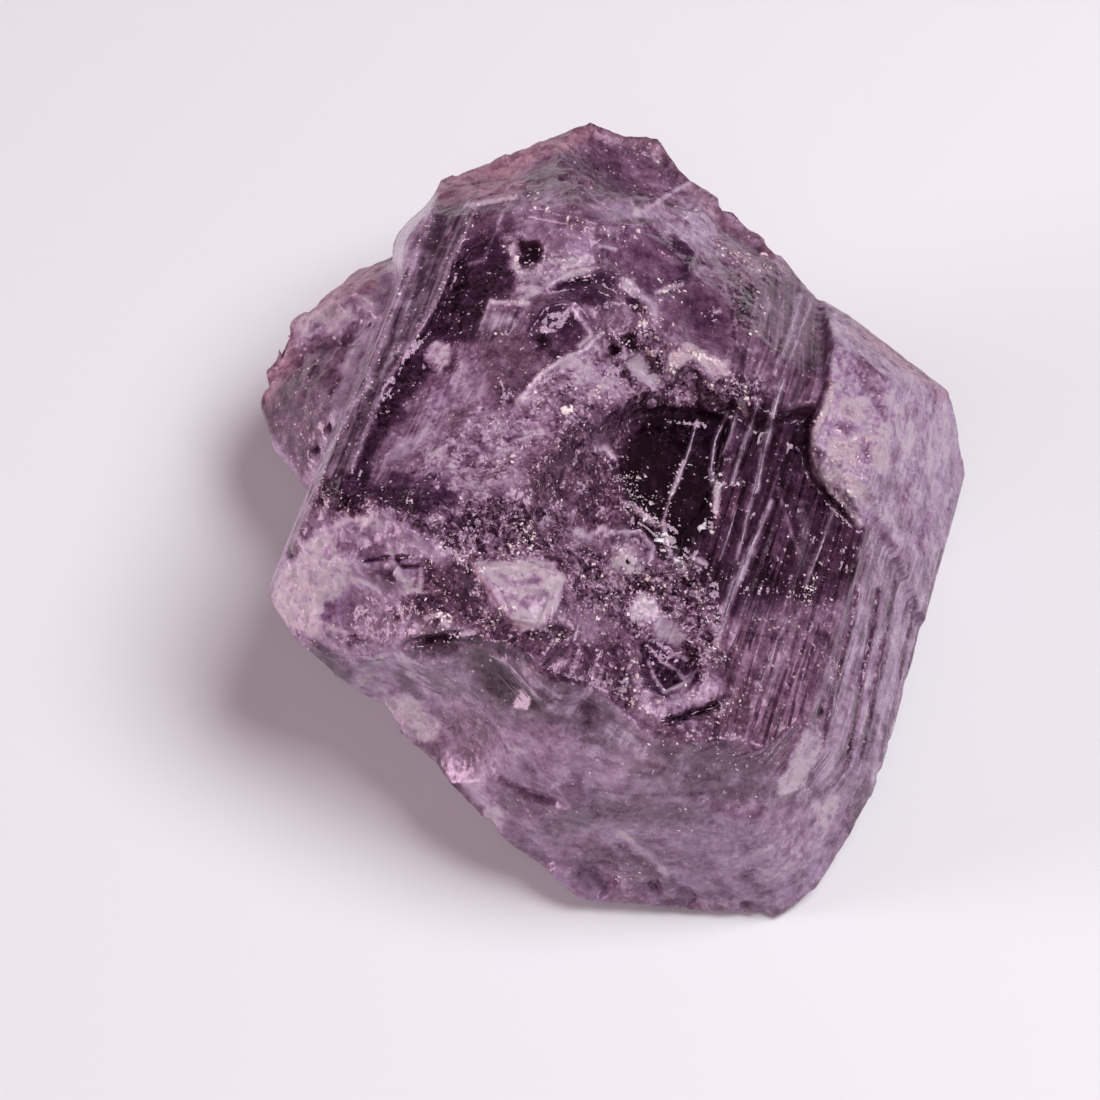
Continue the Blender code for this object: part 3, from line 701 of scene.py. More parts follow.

# %% [markdown]
# ## Streaks, crests and worn places
#
# Growth lines, rims and small crests are long and narrow, so they are drawn as lines: a
# streak changes the finish along its line, and a crest lifts the surface or cuts into it.
# Where two planes of the solid meet in the broken top, the real stone has no clean edge.
# There the planes are first worn into one another.

# %% Streaks
# Each: finish, strength, half width on the sheet, line.
# columns of the right side, their pale lavender a painted sheen
# crests on the top, white with painted highlights
# flow lines and creases of the near end: pale flow lines with a painted sheen, dark lines of
# painted shade in the creases
# growth lines on the right roof face, their pale grey a painted sheen
# shells and crust below the dark recess, their rims with painted highlights
# splinters that radiate in the hollow, with painted highlights and sheen
# the two ridges and the lines between them, their pale lines partly painted sheen and highlights
STREAKS = drawn_rows("""
# growth lines on the right roof face
pale_grey 0.9 3.0 698,418 686,460 672,490 663,523
pale_grey 0.8 4.0 728,412 715,440 711,470 714,490
pale_grey 0.9 3.0 737,410 730,435 722,455
pale_grey 1.0 4.5 757,405 748,435 737,465 733,482
pale_grey 1.0 4.5 782,380 771,425 763,455 757,490
pale_grey 0.7 3.0 775,400 768,428 763,440
pale_grey 0.7 4.0 757,475 750,505 742,540 736,560
pale_grey 1.0 4.5 771,501 757,535 745,560 733,590 718,640
pale_grey 0.9 8.0 750,552 737,580 724,610
pale_grey 0.6 4.0 737,505 730,530 720,560
pale_grey 0.6 3.5 778,488 783,508 791,530 802,562
grey_purple 0.9 10.0 802,505 804,530 803,560
pale_grey 0.8 3.5 836,505 825,535 815,562 806,585
pale_grey 0.6 3.5 800,610 785,650 765,700
pale_grey 0.6 3.5 786,618 775,645 762,680 753,710
dark_plum 0.8 3.5 781,625 768,655 757,690
dark_plum 0.6 3.5 812,620 800,655 788,690
pale_lavender 0.9 5.0 799,296 790,335 775,372
pale_lavender 0.8 3.5 811,299 795,345 780,388
pale_lavender 0.5 3.5 772,300 765,325
dark_plum 0.7 4.0 815,315 815,345 812,370
# columns of the right side
pale_lavender 0.8 6.0 866,590 850,660 832,760
pale_lavender 0.8 5.0 888,570 872,660 852,770
pale_lavender 0.7 6.0 905,585 895,660 872,780
dark_plum 0.9 4.5 858,590 842,660 822,745
dark_plum 1.0 5.0 878,590 862,680 845,770
dark_plum 0.9 4.5 896,580 880,665 862,760
dark_plum 0.7 3.5 915,600 900,680 880,760
# rims of the plate
cream 1.0 5.0 833,386 824,412 815,432 813,455 818,475 832,492 848,508 860,525
cream 0.7 8.0 842,412 858,418
cream 0.7 10.0 832,442 850,455
cream 0.6 9.0 872,440 880,465
cream 0.7 8.0 822,470 838,485
cream 0.7 7.0 850,480 865,500
# the two ridges and the lines between them
pale_lavender 0.8 3.5 434,211 391,318 365,384 330,450 311,506
pale_lavender 0.7 3.5 476,206 452,261 433,309 383,389 352,467
pale_grey 0.6 3.0 503,210 485,260 465,265
pale_grey 0.6 3.0 411,300 395,345 375,390
bright 0.8 4.0 466,206 500,199 515,197
# crests on the top
bright 0.8 3.5 493,303 528,303
bright 0.7 3.5 490,300 480,330
bright 1.0 4.5 556,281 570,275 590,271
bright 0.9 4.0 510,250 516,262 522,278
bright 0.8 4.0 518,290 532,288
bright 0.8 3.0 600,246 616,249
cream 0.9 4.0 656,292 668,288 682,284
cream 1.0 4.5 589,394 603,388
cream 1.0 5.0 741,402 746,415
pale_lavender 0.8 3.0 724,285 733,305 737,345
dark_plum 0.8 3.0 731,300 735,345
black_glass 0.8 4.0 560,284 590,281
bright 0.8 4.0 545,262 575,260
bright 0.8 5.0 520,300 540,290 556,282
bright 0.7 4.0 575,310 592,335 580,346
bright 0.8 4.0 602,333 585,350 560,360 535,380 520,400
bright 0.7 3.5 636,216 660,200 690,182
dark_mauve 0.8 4.0 600,224 640,222 665,220
# shells and crust below the dark recess
bright 0.9 5.0 597,450 606,447 616,458
bright 0.8 7.0 577,530 590,536 602,528
bright 0.9 4.0 626,503 640,512 657,527
bright 0.9 4.0 610,532 640,532 653,548 650,560
bright 0.9 4.0 684,463 672,494
bright 0.9 5.0 664,524 666,540 671,554 682,566
bright 0.9 5.0 712,470 718,488 716,510
bright 0.8 4.0 692,556 706,564
# the near left lobe
black_glass 0.9 3.0 363,561 380,559 395,557 420,558 432,563
black_glass 1.0 4.5 397,561 404,567 418,566
bright 0.9 3.0 388,545 392,556 398,572 408,590
bright 1.0 3.0 360,580 370,585 382,592
pink_lilac 0.8 5.0 408,590 420,592 420,570
cream 0.9 4.0 296,582 310,589 322,597 334,589 354,580
cream 0.9 4.0 296,626 312,633 330,628 346,634
cream 0.6 3.5 284,575 294,590 300,612 286,620
cream 0.8 4.0 334,526 346,519 374,518
white_crust 0.9 4.5 426,618 440,614 448,626
white_crust 0.9 4.5 462,634 474,632
dark_plum 0.8 3.0 312,641 320,650
bright 0.7 3.5 398,604 402,618
pale_lavender 1.0 5.0 302,502 290,535 278,560 270,582
brown_rim 0.9 3.0 470,563 490,590 508,618 522,630
mauve 0.7 5.0 496,572 516,584 540,580
mauve 0.6 4.0 512,596 528,606 546,598
dark_mauve 0.5 3.0 486,578 502,590 512,612
cream 0.9 3.0 478,562 520,565 562,574
bright 1.0 3.5 528,628 544,620 558,602
# splinters that radiate in the hollow
bright 0.8 3.0 650,648 660,660 672,668
bright 0.7 3.0 658,644 672,654 686,658
bright 0.8 3.0 664,692 680,686 694,676
pale_grey 0.8 3.0 648,662 656,678 664,690
pale_grey 0.7 3.0 674,668 684,678 698,670
# flow lines and creases of the near end
pale_grey 1.0 3.5 490,655 508,664 525,682 538,698 548,707
pale_grey 1.0 3.0 512,658 530,674 545,688 560,697 590,689
dark_mauve 0.8 3.0 516,670 534,690 552,702
pale_grey 0.6 4.0 548,708 562,701 590,694 612,706 640,730 655,742
dark_mauve 0.8 5.0 500,780 530,795 556,802
dark_mauve 0.7 4.0 645,762 690,776 720,780
dark_mauve 0.7 3.5 590,790 660,796 740,788
dark_mauve 0.8 6.0 620,845 645,865 675,880
pink_lilac 0.8 5.0 618,832 650,858 668,875
""")
print("streaks:", len(STREAKS))

# %% Crests and cuts
# Each: height in mm, below zero for a cut, half width on the sheet, line.
CRESTS = drawn_rows("""
0.18 6 434,211 391,318 365,384 330,450 311,506
0.18 6 476,206 452,261 433,309 383,389 352,467
0.16 5 500,656 530,688 548,708
0.2 7 508,658 545,694 562,701 590,694 612,706 655,742
0.2 7 833,386 815,432 813,455 832,492 860,525
0.3 6 553,284 575,272 592,270
0.25 5 545,262 575,260
0.2 5 493,303 528,303
0.2 5 531,330 545,308 575,303 589,320 589,350
0.18 5 590,460 606,449 618,470 620,505 600,530
0.3 6 626,503 640,512 657,527
0.25 6 610,532 640,532 653,548 650,560
0.25 6 602,333 585,350 560,360 535,380 520,400
0.2 5 470,204 502,198 515,197 560,215 600,225 659,200
0.18 5 600,240 620,228 665,225 692,255 680,284
0.25 6 474,560 520,562 563,580 540,626 506,614 474,560
0.25 5 776,794 798,744 808,724 818,735 800,786 776,794
0.3 5 622,280 640,296 648,320
0.12 4 771,501 745,560 718,640
0.12 4 782,380 771,425 757,490
0.12 4 757,405 737,465 733,482
0.12 4 799,296 775,372
0.1 4 811,299 780,388
-0.35 6 405,645 440,638 500,622 560,632
-0.35 6 560,540 600,560 640,575 690,566
-0.35 5 664,724 690,714 716,706
-0.2 5 361,560 395,557 429,560
-0.3 5 548,290 590,284 612,296
-0.35 6 520,252 538,250 530,264
-0.2 4 862,680 878,590
-0.2 4 822,745 858,590
-0.25 6 500,780 530,795 556,802
""")
print("crests and cuts:", len(CRESTS))

# %% Worn places
# Each: rounds of averaging, softness, outline.
WORN = drawn_rows("""
60 12 560,440 600,400 640,398 625,430 622,500 612,540 660,580 650,600 560,580
50 10 515,300 610,290 620,350 560,380 510,350
50 10 650,285 740,280 750,350 660,345
40 10 500,235 600,240 620,290 500,300
30 10 640,595 730,600 730,720 640,720
""")


def worn_down(points, edges, drawn, seen):
    """Wears the planes into one another inside the WORN outlines."""
    points = points.copy()
    for rounds, soft, outline in WORN:
        near = near_marks(drawn, outline, 3 * soft)
        weight = (area_mask(drawn[near], outline, soft) * seen[near])[:, None]
        local = np.full(len(points), -1)
        local[near] = np.arange(len(near))
        pairs = local[edges]
        pairs = pairs[(pairs >= 0).all(axis=1)]
        worn = averaged(points[near], pairs, int(rounds))
        points[near] = points[near] * (1 - weight) + worn * weight
    return points


worn_points = worn_down(points, edges, onto_sheet(points), seen)
write_points(skin.data, worn_points)
print("deepest wear in mm:", np.abs(worn_points - points).max().round(2))

# %% [markdown]
# ## Outline corrections
#
# Flat planes can't follow every bulge of the real outline. Instead of more facets on the
# solid, a few soft pulls move the skin in the plane of the drawing sheet. They fade to
# nothing at the floor, so the stone still lies on its flat base.

# %% Pulls
# Each: the place on the sheet, the reach, and the shift right and down, in sheet units.
SHIFTS = (
    (648, 148, 70, 9, -15),
    (600, 122, 30, 3, -3),
    (830, 290, 90, -5, 8),
    (910, 350, 90, -5, 8),
    (402, 238, 55, -17, -6),
    (285, 640, 70, -8, 5),
    (340, 690, 60, -3, 6),
    (410, 730, 40, -3, 6),
)
FULL_SHIFT_HEIGHT = 4.0


def shifted(places):
    drawn = onto_sheet(places)
    raised = smooth_step(places[:, 2] / FULL_SHIFT_HEIGHT)
    moved = places.copy()
    for x, y, reach, right, down in SHIFTS:
        weight = smooth_step(1 - np.hypot(drawn[:, 0] - x, drawn[:, 1] - y) / reach) * raised
        step = (right * rightward - down * upward) / SHEET_UNITS_PER_MM
        moved += weight[:, None] * step
    return moved


write_points(skin.data, shifted(read_points(skin.data)))
longest = max(math.hypot(*row[3:]) for row in SHIFTS) / SHEET_UNITS_PER_MM
print("longest pull in mm:", round(longest, 2))

# %% [markdown]
# ## Painting the points
#
# Every point of the skin gets one value for each channel. It starts with the plain finish
# of the far side, then takes the areas and the streaks in order. The drawn edges are bent by
# a cloud first, or they would look cut out with a knife. Milky stone is uneven too, so soft
# patches and thin veins change how pale it is.

# %% Masks on the points
PLAIN_FINISH = "mauve"
PLAIN_HACKLE_ON_SIDES = 0.15
PLAIN_LINES_ON_SIDES = 0.8
SIDE_BLEND_ROUNDS = 3
AREA_WAVE, FINE_AREA_WAVE, STREAK_WAVE = 5.0, 2.5, 1.2
PATCHES, MILK_VEINS, MILK_GAPS = 0.13, 0.13, 0.14
LEAST_MILK, MILK_PER_PALE = 0.15, 1.6
PALE_CHANGE, WARM_CHANGE = 0.18, 0.22
PALE, WARM, HACKLE, LINES = (CHANNELS.index(n) for n in ("pale", "warm", "hackle", "lines"))


def zero_line(places, size, seed, width):
    """A mask of thin winding lines, where a cloud changes its sign."""
    return smooth_step(1 - np.abs(cloud(places, size, seed, 3)) / width)


def paint(thing, seen=None):
    """Every channel on every point of a mesh, with what the carving also needs."""
    mesh = thing.data
    places = read_points(mesh)
    normals = read_normals(mesh)
    edges = read_edges(mesh)
    tree = None
    if seen is None:
        seen, tree = sees(thing, places, normals, edges)
    drawn = onto_sheet(places)
    shift = cloud_shift(places, 1.6, (40, 50), 3)
    fine_shift = cloud_shift(places, 0.35, (44, 54), 2)
    wavy = drawn + AREA_WAVE * shift + FINE_AREA_WAVE * fine_shift
    straight = drawn + STREAK_WAVE * shift
    squareness, across = prism_side(places, normals)
    on_side = averaged(squareness, edges, SIDE_BLEND_ROUNDS)

    table = np.tile(FINISHES[PLAIN_FINISH], (len(places), 1))
    table[:, PALE] += PALE_CHANGE * cloud(places, 4.0, 60, 3)
    table[:, LINES] = np.maximum(table[:, LINES], PLAIN_LINES_ON_SIDES * on_side)
    table[on_side > 0.5, HACKLE] = PLAIN_HACKLE_ON_SIDES
    marks = [(finish, strength, area_mask(wavy, outline, soft))
             for finish, soft, strength, outline in AREAS]
    marks += [(finish, strength, line_mask(straight, line, width))
              for finish, strength, width, line in STREAKS]
    for finish, strength, mask in marks:
        near = np.flatnonzero(mask > 0)
        weight = (mask[near] * strength * seen[near])[:, None]
        table[near] += weight * (np.array(FINISHES[finish]) - table[near])

    milk = np.clip(table[:, PALE] * MILK_PER_PALE, LEAST_MILK, 1)
    patches = PATCHES * cloud(places, 1.2, 66, 3)
    veins = MILK_VEINS * zero_line(places, 1.9, 71, 0.10)
    gaps = MILK_GAPS * zero_line(places, 1.5, 75, 0.07)
    table[:, PALE] += milk * (patches + veins - gaps)
    table[:, WARM] += WARM_CHANGE * cloud(places, 2.6, 65, 2)
    return {
        "places": places, "normals": normals, "seen": seen, "tree": tree, "drawn": drawn,
        "on_side": on_side, "across": across, "channels": dict(zip(CHANNELS, table.T)),
    }


painted = paint(skin, seen)
print("pale, mean:", painted["channels"]["pale"].mean().round(2))

# %% [markdown]
# ## Carving the skin
#
# Each point moves along its own normal by the sum of all the effects: growth lines on the
# long sides, shells and splinters where the stone is broken, crests and cuts where they are
# drawn. The base stays flat, because the stone has to lie still, so nothing goes under the
# floor.

# %% Heights of the carving
# A layer is the size of its lines or cells in mm, its share of the height and its seed.
LINE_HEIGHT = 0.085
LINE_LAYERS = ((1.1, 0.9, 1), (0.5, 0.7, 2), (0.24, 0.5, 3))
SHELL_DEPTH, SHELL_LEVEL = 0.34, 0.35
SHELL_LAYERS = (((2.4, 3.4, 2.4), 1.0, 7), ((1.0, 1.5, 1.0), 0.4, 8))
HACKLE_HEIGHT = 0.19
HACKLE_LAYERS = (((1.0, 1.9, 1.0), 1.0, 9), ((0.5, 0.8, 0.5), 0.55, 10))
GRAIN_HEIGHT, GRAIN_SIZE = 0.035, 0.35
CELL_BEND, CELL_BEND_SIZE = 0.5, 1.5
DEEPEST, HIGHEST = -0.5, 0.32
FLAT_FOOT, FULL_CARVING = 0.05, 0.6
# The floor of the dark recess dips away from the near end, so it mirrors the dark room.
RECESS = ((622, 425), (640, 409), (700, 413), (716, 420), (706, 470), (690, 545), (640, 520))
RECESS_SOFT, RECESS_SLOPE = 8, 0.13
# The outline at the upper right is smooth, on the far side of the edge as well.
CALM_EDGE = ((655, 150), (700, 165), (812, 262), (800, 292), (760, 275), (700, 226), (650, 188))
CALM_SOFT, CALM_SHARE = 10, 0.85
print("the carving may reach from", DEEPEST, "to", HIGHEST, "mm")


# %% Carve
def carve(painted):
    places, drawn, seen = painted["places"], painted["drawn"], painted["seen"]
    channels = painted["channels"]
    along = places[:, 1]
    height = np.zeros(len(places))
    lines = sum(
        share * growth_lines(painted["across"], along, size, seed)
        for size, share, seed in LINE_LAYERS
    )
    height += LINE_HEIGHT * lines * channels["lines"] * painted["on_side"]
    bent = places + CELL_BEND * cloud_shift(places, CELL_BEND_SIZE, (4, 5, 6))
    for size, share, seed in SHELL_LAYERS:
        shell, _ = cells(bent, size, seed)
        height += share * SHELL_DEPTH * channels["shell"] * (shell ** 2 - SHELL_LEVEL)
    for size, share, seed in HACKLE_LAYERS:
        _, splinter = cells(bent, size, seed)
        height += HACKLE_HEIGHT * share * channels["hackle"] * splinter
    height += GRAIN_HEIGHT * channels["hackle"] * cloud(places, GRAIN_SIZE, 11)
    for rise, width, line in CRESTS:
        height += rise * line_mask(drawn, line, width) * seen
    height -= RECESS_SLOPE * along * (area_mask(drawn, RECESS, RECESS_SOFT) * seen)
    height = np.clip(height, DEEPEST, HIGHEST)
    height *= 1 - CALM_SHARE * area_mask(drawn, CALM_EDGE, CALM_SOFT)
    foot = smooth_step((places[:, 2] - FLAT_FOOT) / FULL_CARVING)
    moved = places + (height * foot)[:, None] * painted["normals"]
    moved[:, 2] = np.maximum(moved[:, 2], 0.0)
    return moved


carved = carve(painted)
write_points(skin.data, carved)
print("carved mm, mean:", np.linalg.norm(carved - painted["places"], axis=1).mean().round(3))

# %% [markdown]
# ## Fewer triangles
#
# The remeshed skin has far more triangles than a part should. A Decimate modifier takes
# them away where the surface is nearly flat. It could work evenly, but a vertex group lets
# it take more from the side that the sheet doesn't see, where nothing fine is drawn.

# %% Decimate
MOST_TRIANGLES = 192000
SEEN_WEIGHT, HIDDEN_EXTRA = 0.3, 0.7
WEIGHT_STEPS = 10


def count_triangles(mesh):
    return sum(len(face.vertices) - 2 for face in mesh.polygons)


triangles = count_triangles(skin.data)
hidden = skin.vertex_groups.new(name="hidden")
for level in range(WEIGHT_STEPS + 1):
    chosen = np.flatnonzero(np.round(WEIGHT_STEPS * (1 - painted["seen"])) == level)
    hidden.add(chosen.tolist(), SEEN_WEIGHT + level / WEIGHT_STEPS * HIDDEN_EXTRA, "REPLACE")
thin = skin.modifiers.new("Decimate", "DECIMATE")
thin.vertex_group = "hidden"
thin.vertex_group_factor = 1.0
thin.ratio = min(1.0, MOST_TRIANGLES / triangles)
apply_modifier(skin, "Decimate")
print("triangles:", triangles, "->", count_triangles(skin.data))

# %% [markdown]
# ## Masks for the material
#
# The channels are painted again on the final points and stored on the mesh as attributes,
# which the material reads by name. They could be a picture on an unfolded skin, but values
# on the points need no unfolding and stay sharp enough on so dense a mesh.

# %% Store the masks
SPLINTERED_FROM = 0.62


def store(thing, name, values):
    """Keeps one value per point on the mesh, under a name that the material can read."""
    layer = thing.data.attributes.new(name, "FLOAT", "POINT")
    layer.data.foreach_set("value", np.asarray(values).astype(np.float32))


painted = paint(skin)
for name in CHANNELS:
    store(skin, name, np.clip(painted["channels"][name], 0, 1))
store(skin, "across", painted["across"])
# Splintered stone keeps its sharp facets, the rest is shaded smooth.
splintered = painted["channels"]["hackle"] > SPLINTERED_FROM
smooth = [not splintered[face.vertices[0]] for face in skin.data.polygons]
skin.data.polygons.foreach_set("use_smooth", smooth)
print("splintered share:", splintered.mean().round(2))

# %% [markdown]
# ## Rings
#
# Where glassy stone broke under a blow, faint rings run round the place that was hit. They
# are too fine to carve, so the points only carry a count of rings, which the material turns
# into light and dark bands: painted shading of the ring relief.

# %% Rings round a blow
# Each: stretch down the sheet, width of one ring, softness, the centre, then the outline.
RIPPLES = drawn_rows("""
0.8 5.2 7 574,488 590,470 604,458 618,470 622,498 612,522 596,530 592,500
1.0 7.0 8 628,640 640,640 700,662 700,690 680,700 650,690
""")

RING_WAVE = 0.6
RING_SHARE, RING_SHARE_CHANGE = 0.55, 0.45

ripple = np.zeros(len(painted["places"]))
ripple_share = np.zeros(len(painted["places"]))
for stretch, width, soft, (centre, *outline) in RIPPLES:
    away = painted["drawn"] - centre
    share = area_mask(painted["drawn"], outline, soft) * painted["seen"]
    rings = np.hypot(away[:, 0], away[:, 1] * stretch) / width
    rings += RING_WAVE * cloud(painted["places"], 0.9, 81, 2)
    ripple = np.where(share > ripple_share, rings, ripple)
    patchy = RING_SHARE + RING_SHARE_CHANGE * cloud(painted["places"], 0.7, 83)
    ripple_share = np.maximum(ripple_share, share * patchy)
store(skin, "ripple", ripple)
store(skin, "ripple_share", ripple_share)
print("points with rings:", int((ripple_share > 0).sum()))

# %% [markdown]
# ## Node groups
#
# Three effects make the finish of the stone: cells that lean like small broken facets, the
# same cells drawn out into slivers along the growth lines, and the colour, from clear to
# milky. They could all stand in the material, but as groups each can be read by itself.
# Small builders keep the code short: `new_group` makes a group with named inputs and
# outputs, and `place` adds a node, sets its values and links its inputs.


# %% Node helpers
def new_group(name, inputs, outputs):
    group = bpy.data.node_groups.new(name, "ShaderNodeTree")
    for title, kind, value in inputs:
        socket = group.interface.new_socket(title, in_out="INPUT", socket_type=kind)
        if value is not None:
            socket.default_value = value
    for title, kind in outputs:
        group.interface.new_socket(title, in_out="OUTPUT", socket_type=kind)
    return group, group.nodes.new("NodeGroupInput"), group.nodes.new("NodeGroupOutput")


def place(tree, kind, links=None, **settings):
    """Adds a node. `links` gives each input, by name or number, a socket or a plain value."""
    node = tree.nodes.new(kind)
    for name, value in settings.items():
        setattr(node, name, value)
    for name, value in (links or {}).items():
        if isinstance(value, bpy.types.NodeSocket):
            tree.links.new(value, node.inputs[name])
        else:
            node.inputs[name].default_value = value
    return node


def use_group(tree, group, links):
    return place(tree, "ShaderNodeGroup", links, node_tree=group)


def attribute(tree, name):
    return place(tree, "ShaderNodeAttribute", attribute_name=name).outputs["Fac"]


def math_node(tree, operation, first, second=0.5):
    return place(tree, "ShaderNodeMath", {0: first, 1: second}, operation=operation).outputs[0]


def times_plus(tree, first, factor, rest):
    """first * factor + rest in one node."""
    links = {0: first, 1: factor, 2: rest}
    return place(tree, "ShaderNodeMath", links, operation="MULTIPLY_ADD").outputs[0]


def vector_node(tree, operation, first, second):
    """A vector node; for SCALE the second value is the factor."""
    links = {0: first, ("Scale" if operation == "SCALE" else 1): second}
    return place(tree, "ShaderNodeVectorMath", links, operation=operation).outputs[0]


def blend_colour(tree, amount, first, second, mode="MIX"):
    links = {0: amount, 6: first, 7: second}
    return place(tree, "ShaderNodeMix", links, data_type="RGBA", blend_type=mode).outputs[2]


def leant_normal(tree, normal, way, amount):
    """A normal that leans over some way, with its length made 1 again."""
    leaning = vector_node(tree, "SCALE", way, amount)
    leant = vector_node(tree, "ADD", normal, leaning)
    return place(tree, "ShaderNodeVectorMath", {0: leant}, operation="NORMALIZE").outputs[0]


def close_group(group, result, values):
    for name, value in values.items():
        group.links.new(value, result.inputs[name])
    print("group:", group.name, "nodes:", len(group.nodes))
    return group


FLOAT, VECTOR, COLOUR = "NodeSocketFloat", "NodeSocketVector", "NodeSocketColor"
print("kinds of socket:", FLOAT, VECTOR, COLOUR)

# %% Small facets
# Cells of stone, each with a shade and a lean of its own, so that some of them glint.
group, given, result = new_group(
    "small_facets",
    (("Size", FLOAT, 2500.0), ("Lean", FLOAT, 0.3), ("Bend", FLOAT, 0.0),
     ("Normal", VECTOR, None)),
    (("Normal", VECTOR), ("Shade", FLOAT), ("Chance", FLOAT), ("From centre", FLOAT)),
)
BEND_STEP = (0.001, -0.0008, 0.0009)
where = place(group, "ShaderNodeTexCoord").outputs["Object"]
bend = vector_node(group, "SCALE", BEND_STEP, given.outputs["Bend"])
bent = vector_node(group, "ADD", where, bend)
pieces = place(group, "ShaderNodeTexVoronoi", {"Vector": bent, "Scale": given.outputs["Size"]})
lean = vector_node(group, "SUBTRACT", pieces.outputs["Color"], (0.5, 0.5, 0.5))
tone = place(group, "ShaderNodeSeparateColor", {"Color": pieces.outputs["Color"]})
small_facets = close_group(group, result, {
    "Normal": leant_normal(group, given.outputs["Normal"], lean, given.outputs["Lean"]),
    "Shade": math_node(group, "SUBTRACT", tone.outputs["Red"], 0.5),
    "Chance": tone.outputs["Green"],
    "From centre": pieces.outputs["Distance"],
})

# %% Growth slivers
# The same, drawn out into long slivers that run along the crystal.
group, given, result = new_group(
    "growth_slivers",
    (("Across", FLOAT, 0.0), ("Slivers per mm", FLOAT, 4.0),
     ("Slivers per m along", FLOAT, 250.0), ("Lean", FLOAT, 0.3), ("Normal", VECTOR, None)),
    (("Normal", VECTOR), ("Shade", FLOAT)),
)
CRYSTAL_AXIS = (0.0, 1.0, 0.0)
where = place(group, "ShaderNodeTexCoord").outputs["Object"]
along = place(group, "ShaderNodeSeparateXYZ", {"Vector": where}).outputs["Y"]
sideways = math_node(group, "MULTIPLY", given.outputs["Across"], given.outputs["Slivers per mm"])
lengthways = math_node(group, "MULTIPLY", along, given.outputs["Slivers per m along"])
flat = place(group, "ShaderNodeCombineXYZ", {"X": sideways, "Y": lengthways, "Z": 0.0})
pieces = place(group, "ShaderNodeTexVoronoi", {"Vector": flat.outputs["Vector"], "Scale": 1.0},
               voronoi_dimensions="2D")
tone = place(group, "ShaderNodeSeparateColor", {"Color": pieces.outputs["Color"]})
lean = math_node(group, "SUBTRACT", tone.outputs["Green"], 0.5)
lean = math_node(group, "MULTIPLY", lean, given.outputs["Lean"])
side = vector_node(group, "CROSS_PRODUCT", CRYSTAL_AXIS, given.outputs["Normal"])
growth_slivers = close_group(group, result, {
    "Normal": leant_normal(group, given.outputs["Normal"], side, lean),
    "Shade": math_node(group, "SUBTRACT", tone.outputs["Red"], 0.5),
})

# %% Stone colour
# From clear dark stone to white, then tinted by how warm, rusty or grey it is there. A ramp
# comes with two stops, here for the clearest and the whitest stone; the others are added.
PALE_STOPS = (
    (0.0, (0.010, 0.004, 0.009, 1.0)),
    (1.0, (1.0, 0.89, 0.95, 1.0)),
    (0.28, (0.11, 0.045, 0.10, 1.0)),
    (0.52, (0.36, 0.19, 0.31, 1.0)),
    (0.78, (0.73, 0.50, 0.75, 1.0)),
)
PLUM_TINT = (1.0, 0.68, 0.82, 1.0)
VIOLET_TINT = (0.80, 0.66, 1.0, 1.0)
BROWN_TINT = (0.95, 0.62, 0.50, 1.0)
GREY_TINT = (1.0, 0.90, 1.0, 1.0)
GREY_SATURATION = 0.25
TINT_SHARE_DARK, TINT_SHARE_FALL = 0.60, -0.35

group, given, result = new_group(
    "stone_colour",
    (("Pale", FLOAT, 0.5), ("Warm", FLOAT, 0.5), ("Grey", FLOAT, 0.0), ("Brown", FLOAT, 0.0)),
    (("Color", COLOUR),),
)
ramp = place(group, "ShaderNodeValToRGB", {"Fac": given.outputs["Pale"]})
stops = ramp.color_ramp.elements
for number, (position, colour) in enumerate(PALE_STOPS):
    stop = stops[number] if number < 2 else stops.new(position)
    stop.position, stop.color = position, colour
tint = blend_colour(group, given.outputs["Warm"], VIOLET_TINT, PLUM_TINT)
# The whiter the stone, the less of its own tint shows.
share = times_plus(group, given.outputs["Pale"], TINT_SHARE_FALL, TINT_SHARE_DARK)
tinted = blend_colour(group, share, ramp.outputs["Color"], tint, mode="MULTIPLY")
rust = blend_colour(group, given.outputs["Brown"], tinted, BROWN_TINT, mode="MULTIPLY")
drained = place(group, "ShaderNodeHueSaturation", {"Saturation": GREY_SATURATION, "Color": rust})
cool = blend_colour(group, 1.0, drained.outputs["Color"], GREY_TINT, mode="MULTIPLY")
greyed = blend_colour(group, given.outputs["Grey"], rust, cool)
stone_colour = close_group(group, result, {"Color": greyed})

# %% [markdown]
# ## The stone's material
#
# Real scapolite is see-through and takes up light on its way. So half of the light goes
# into the stone, with the bending of scapolite, and a volume inside takes up green first.
# The other half is scattered at once by the cracks under the surface, in the painted
# colour. Fine facets and slivers lean the normal a little, cell by cell, which gives the
# crisp glints of broken crystal. A bump could do that too, but its slopes are soft.

# %% Values of the material
TRANSMISSION = 0.5
STONE_IOR = 1.55
SHEEN_TINT = (1.0, 0.72, 0.93, 1.0)
ABSORPTION_COLOUR = (0.55, 0.22, 0.50, 1.0)
ABSORPTION_DENSITY = 400.0
NOISE_PER_M, NOISE_DETAIL, NOISE_ROUGHNESS = 1500.0, 4.0, 0.74
SLIVERS_PER_MM, SLIVERS_PER_M_ALONG, SLIVER_LEAN = 6.0, 280.0, 0.40
COARSE_FACETS_PER_M, COARSE_LEAN = 1800.0, 0.85
FINE_FACETS_PER_M, FINE_LEAN = 6500.0, 0.60
LEAST_LEAN = 0.02
SLIVER_TONE, FACET_TONE, RING_PAINTED_SHADE = 0.36, 0.44, 0.16
UNBROKEN_TONE = 0.03
MOTTLING_CLEAR, MOTTLING_MILKY = 0.40, 0.75
VEIN_LEVEL, VEIN_SHARPNESS, VEIN_STRENGTH = 0.07, 45.0, 0.55
SPECK_COLOUR = (0.88, 0.74, 0.78, 1.0)
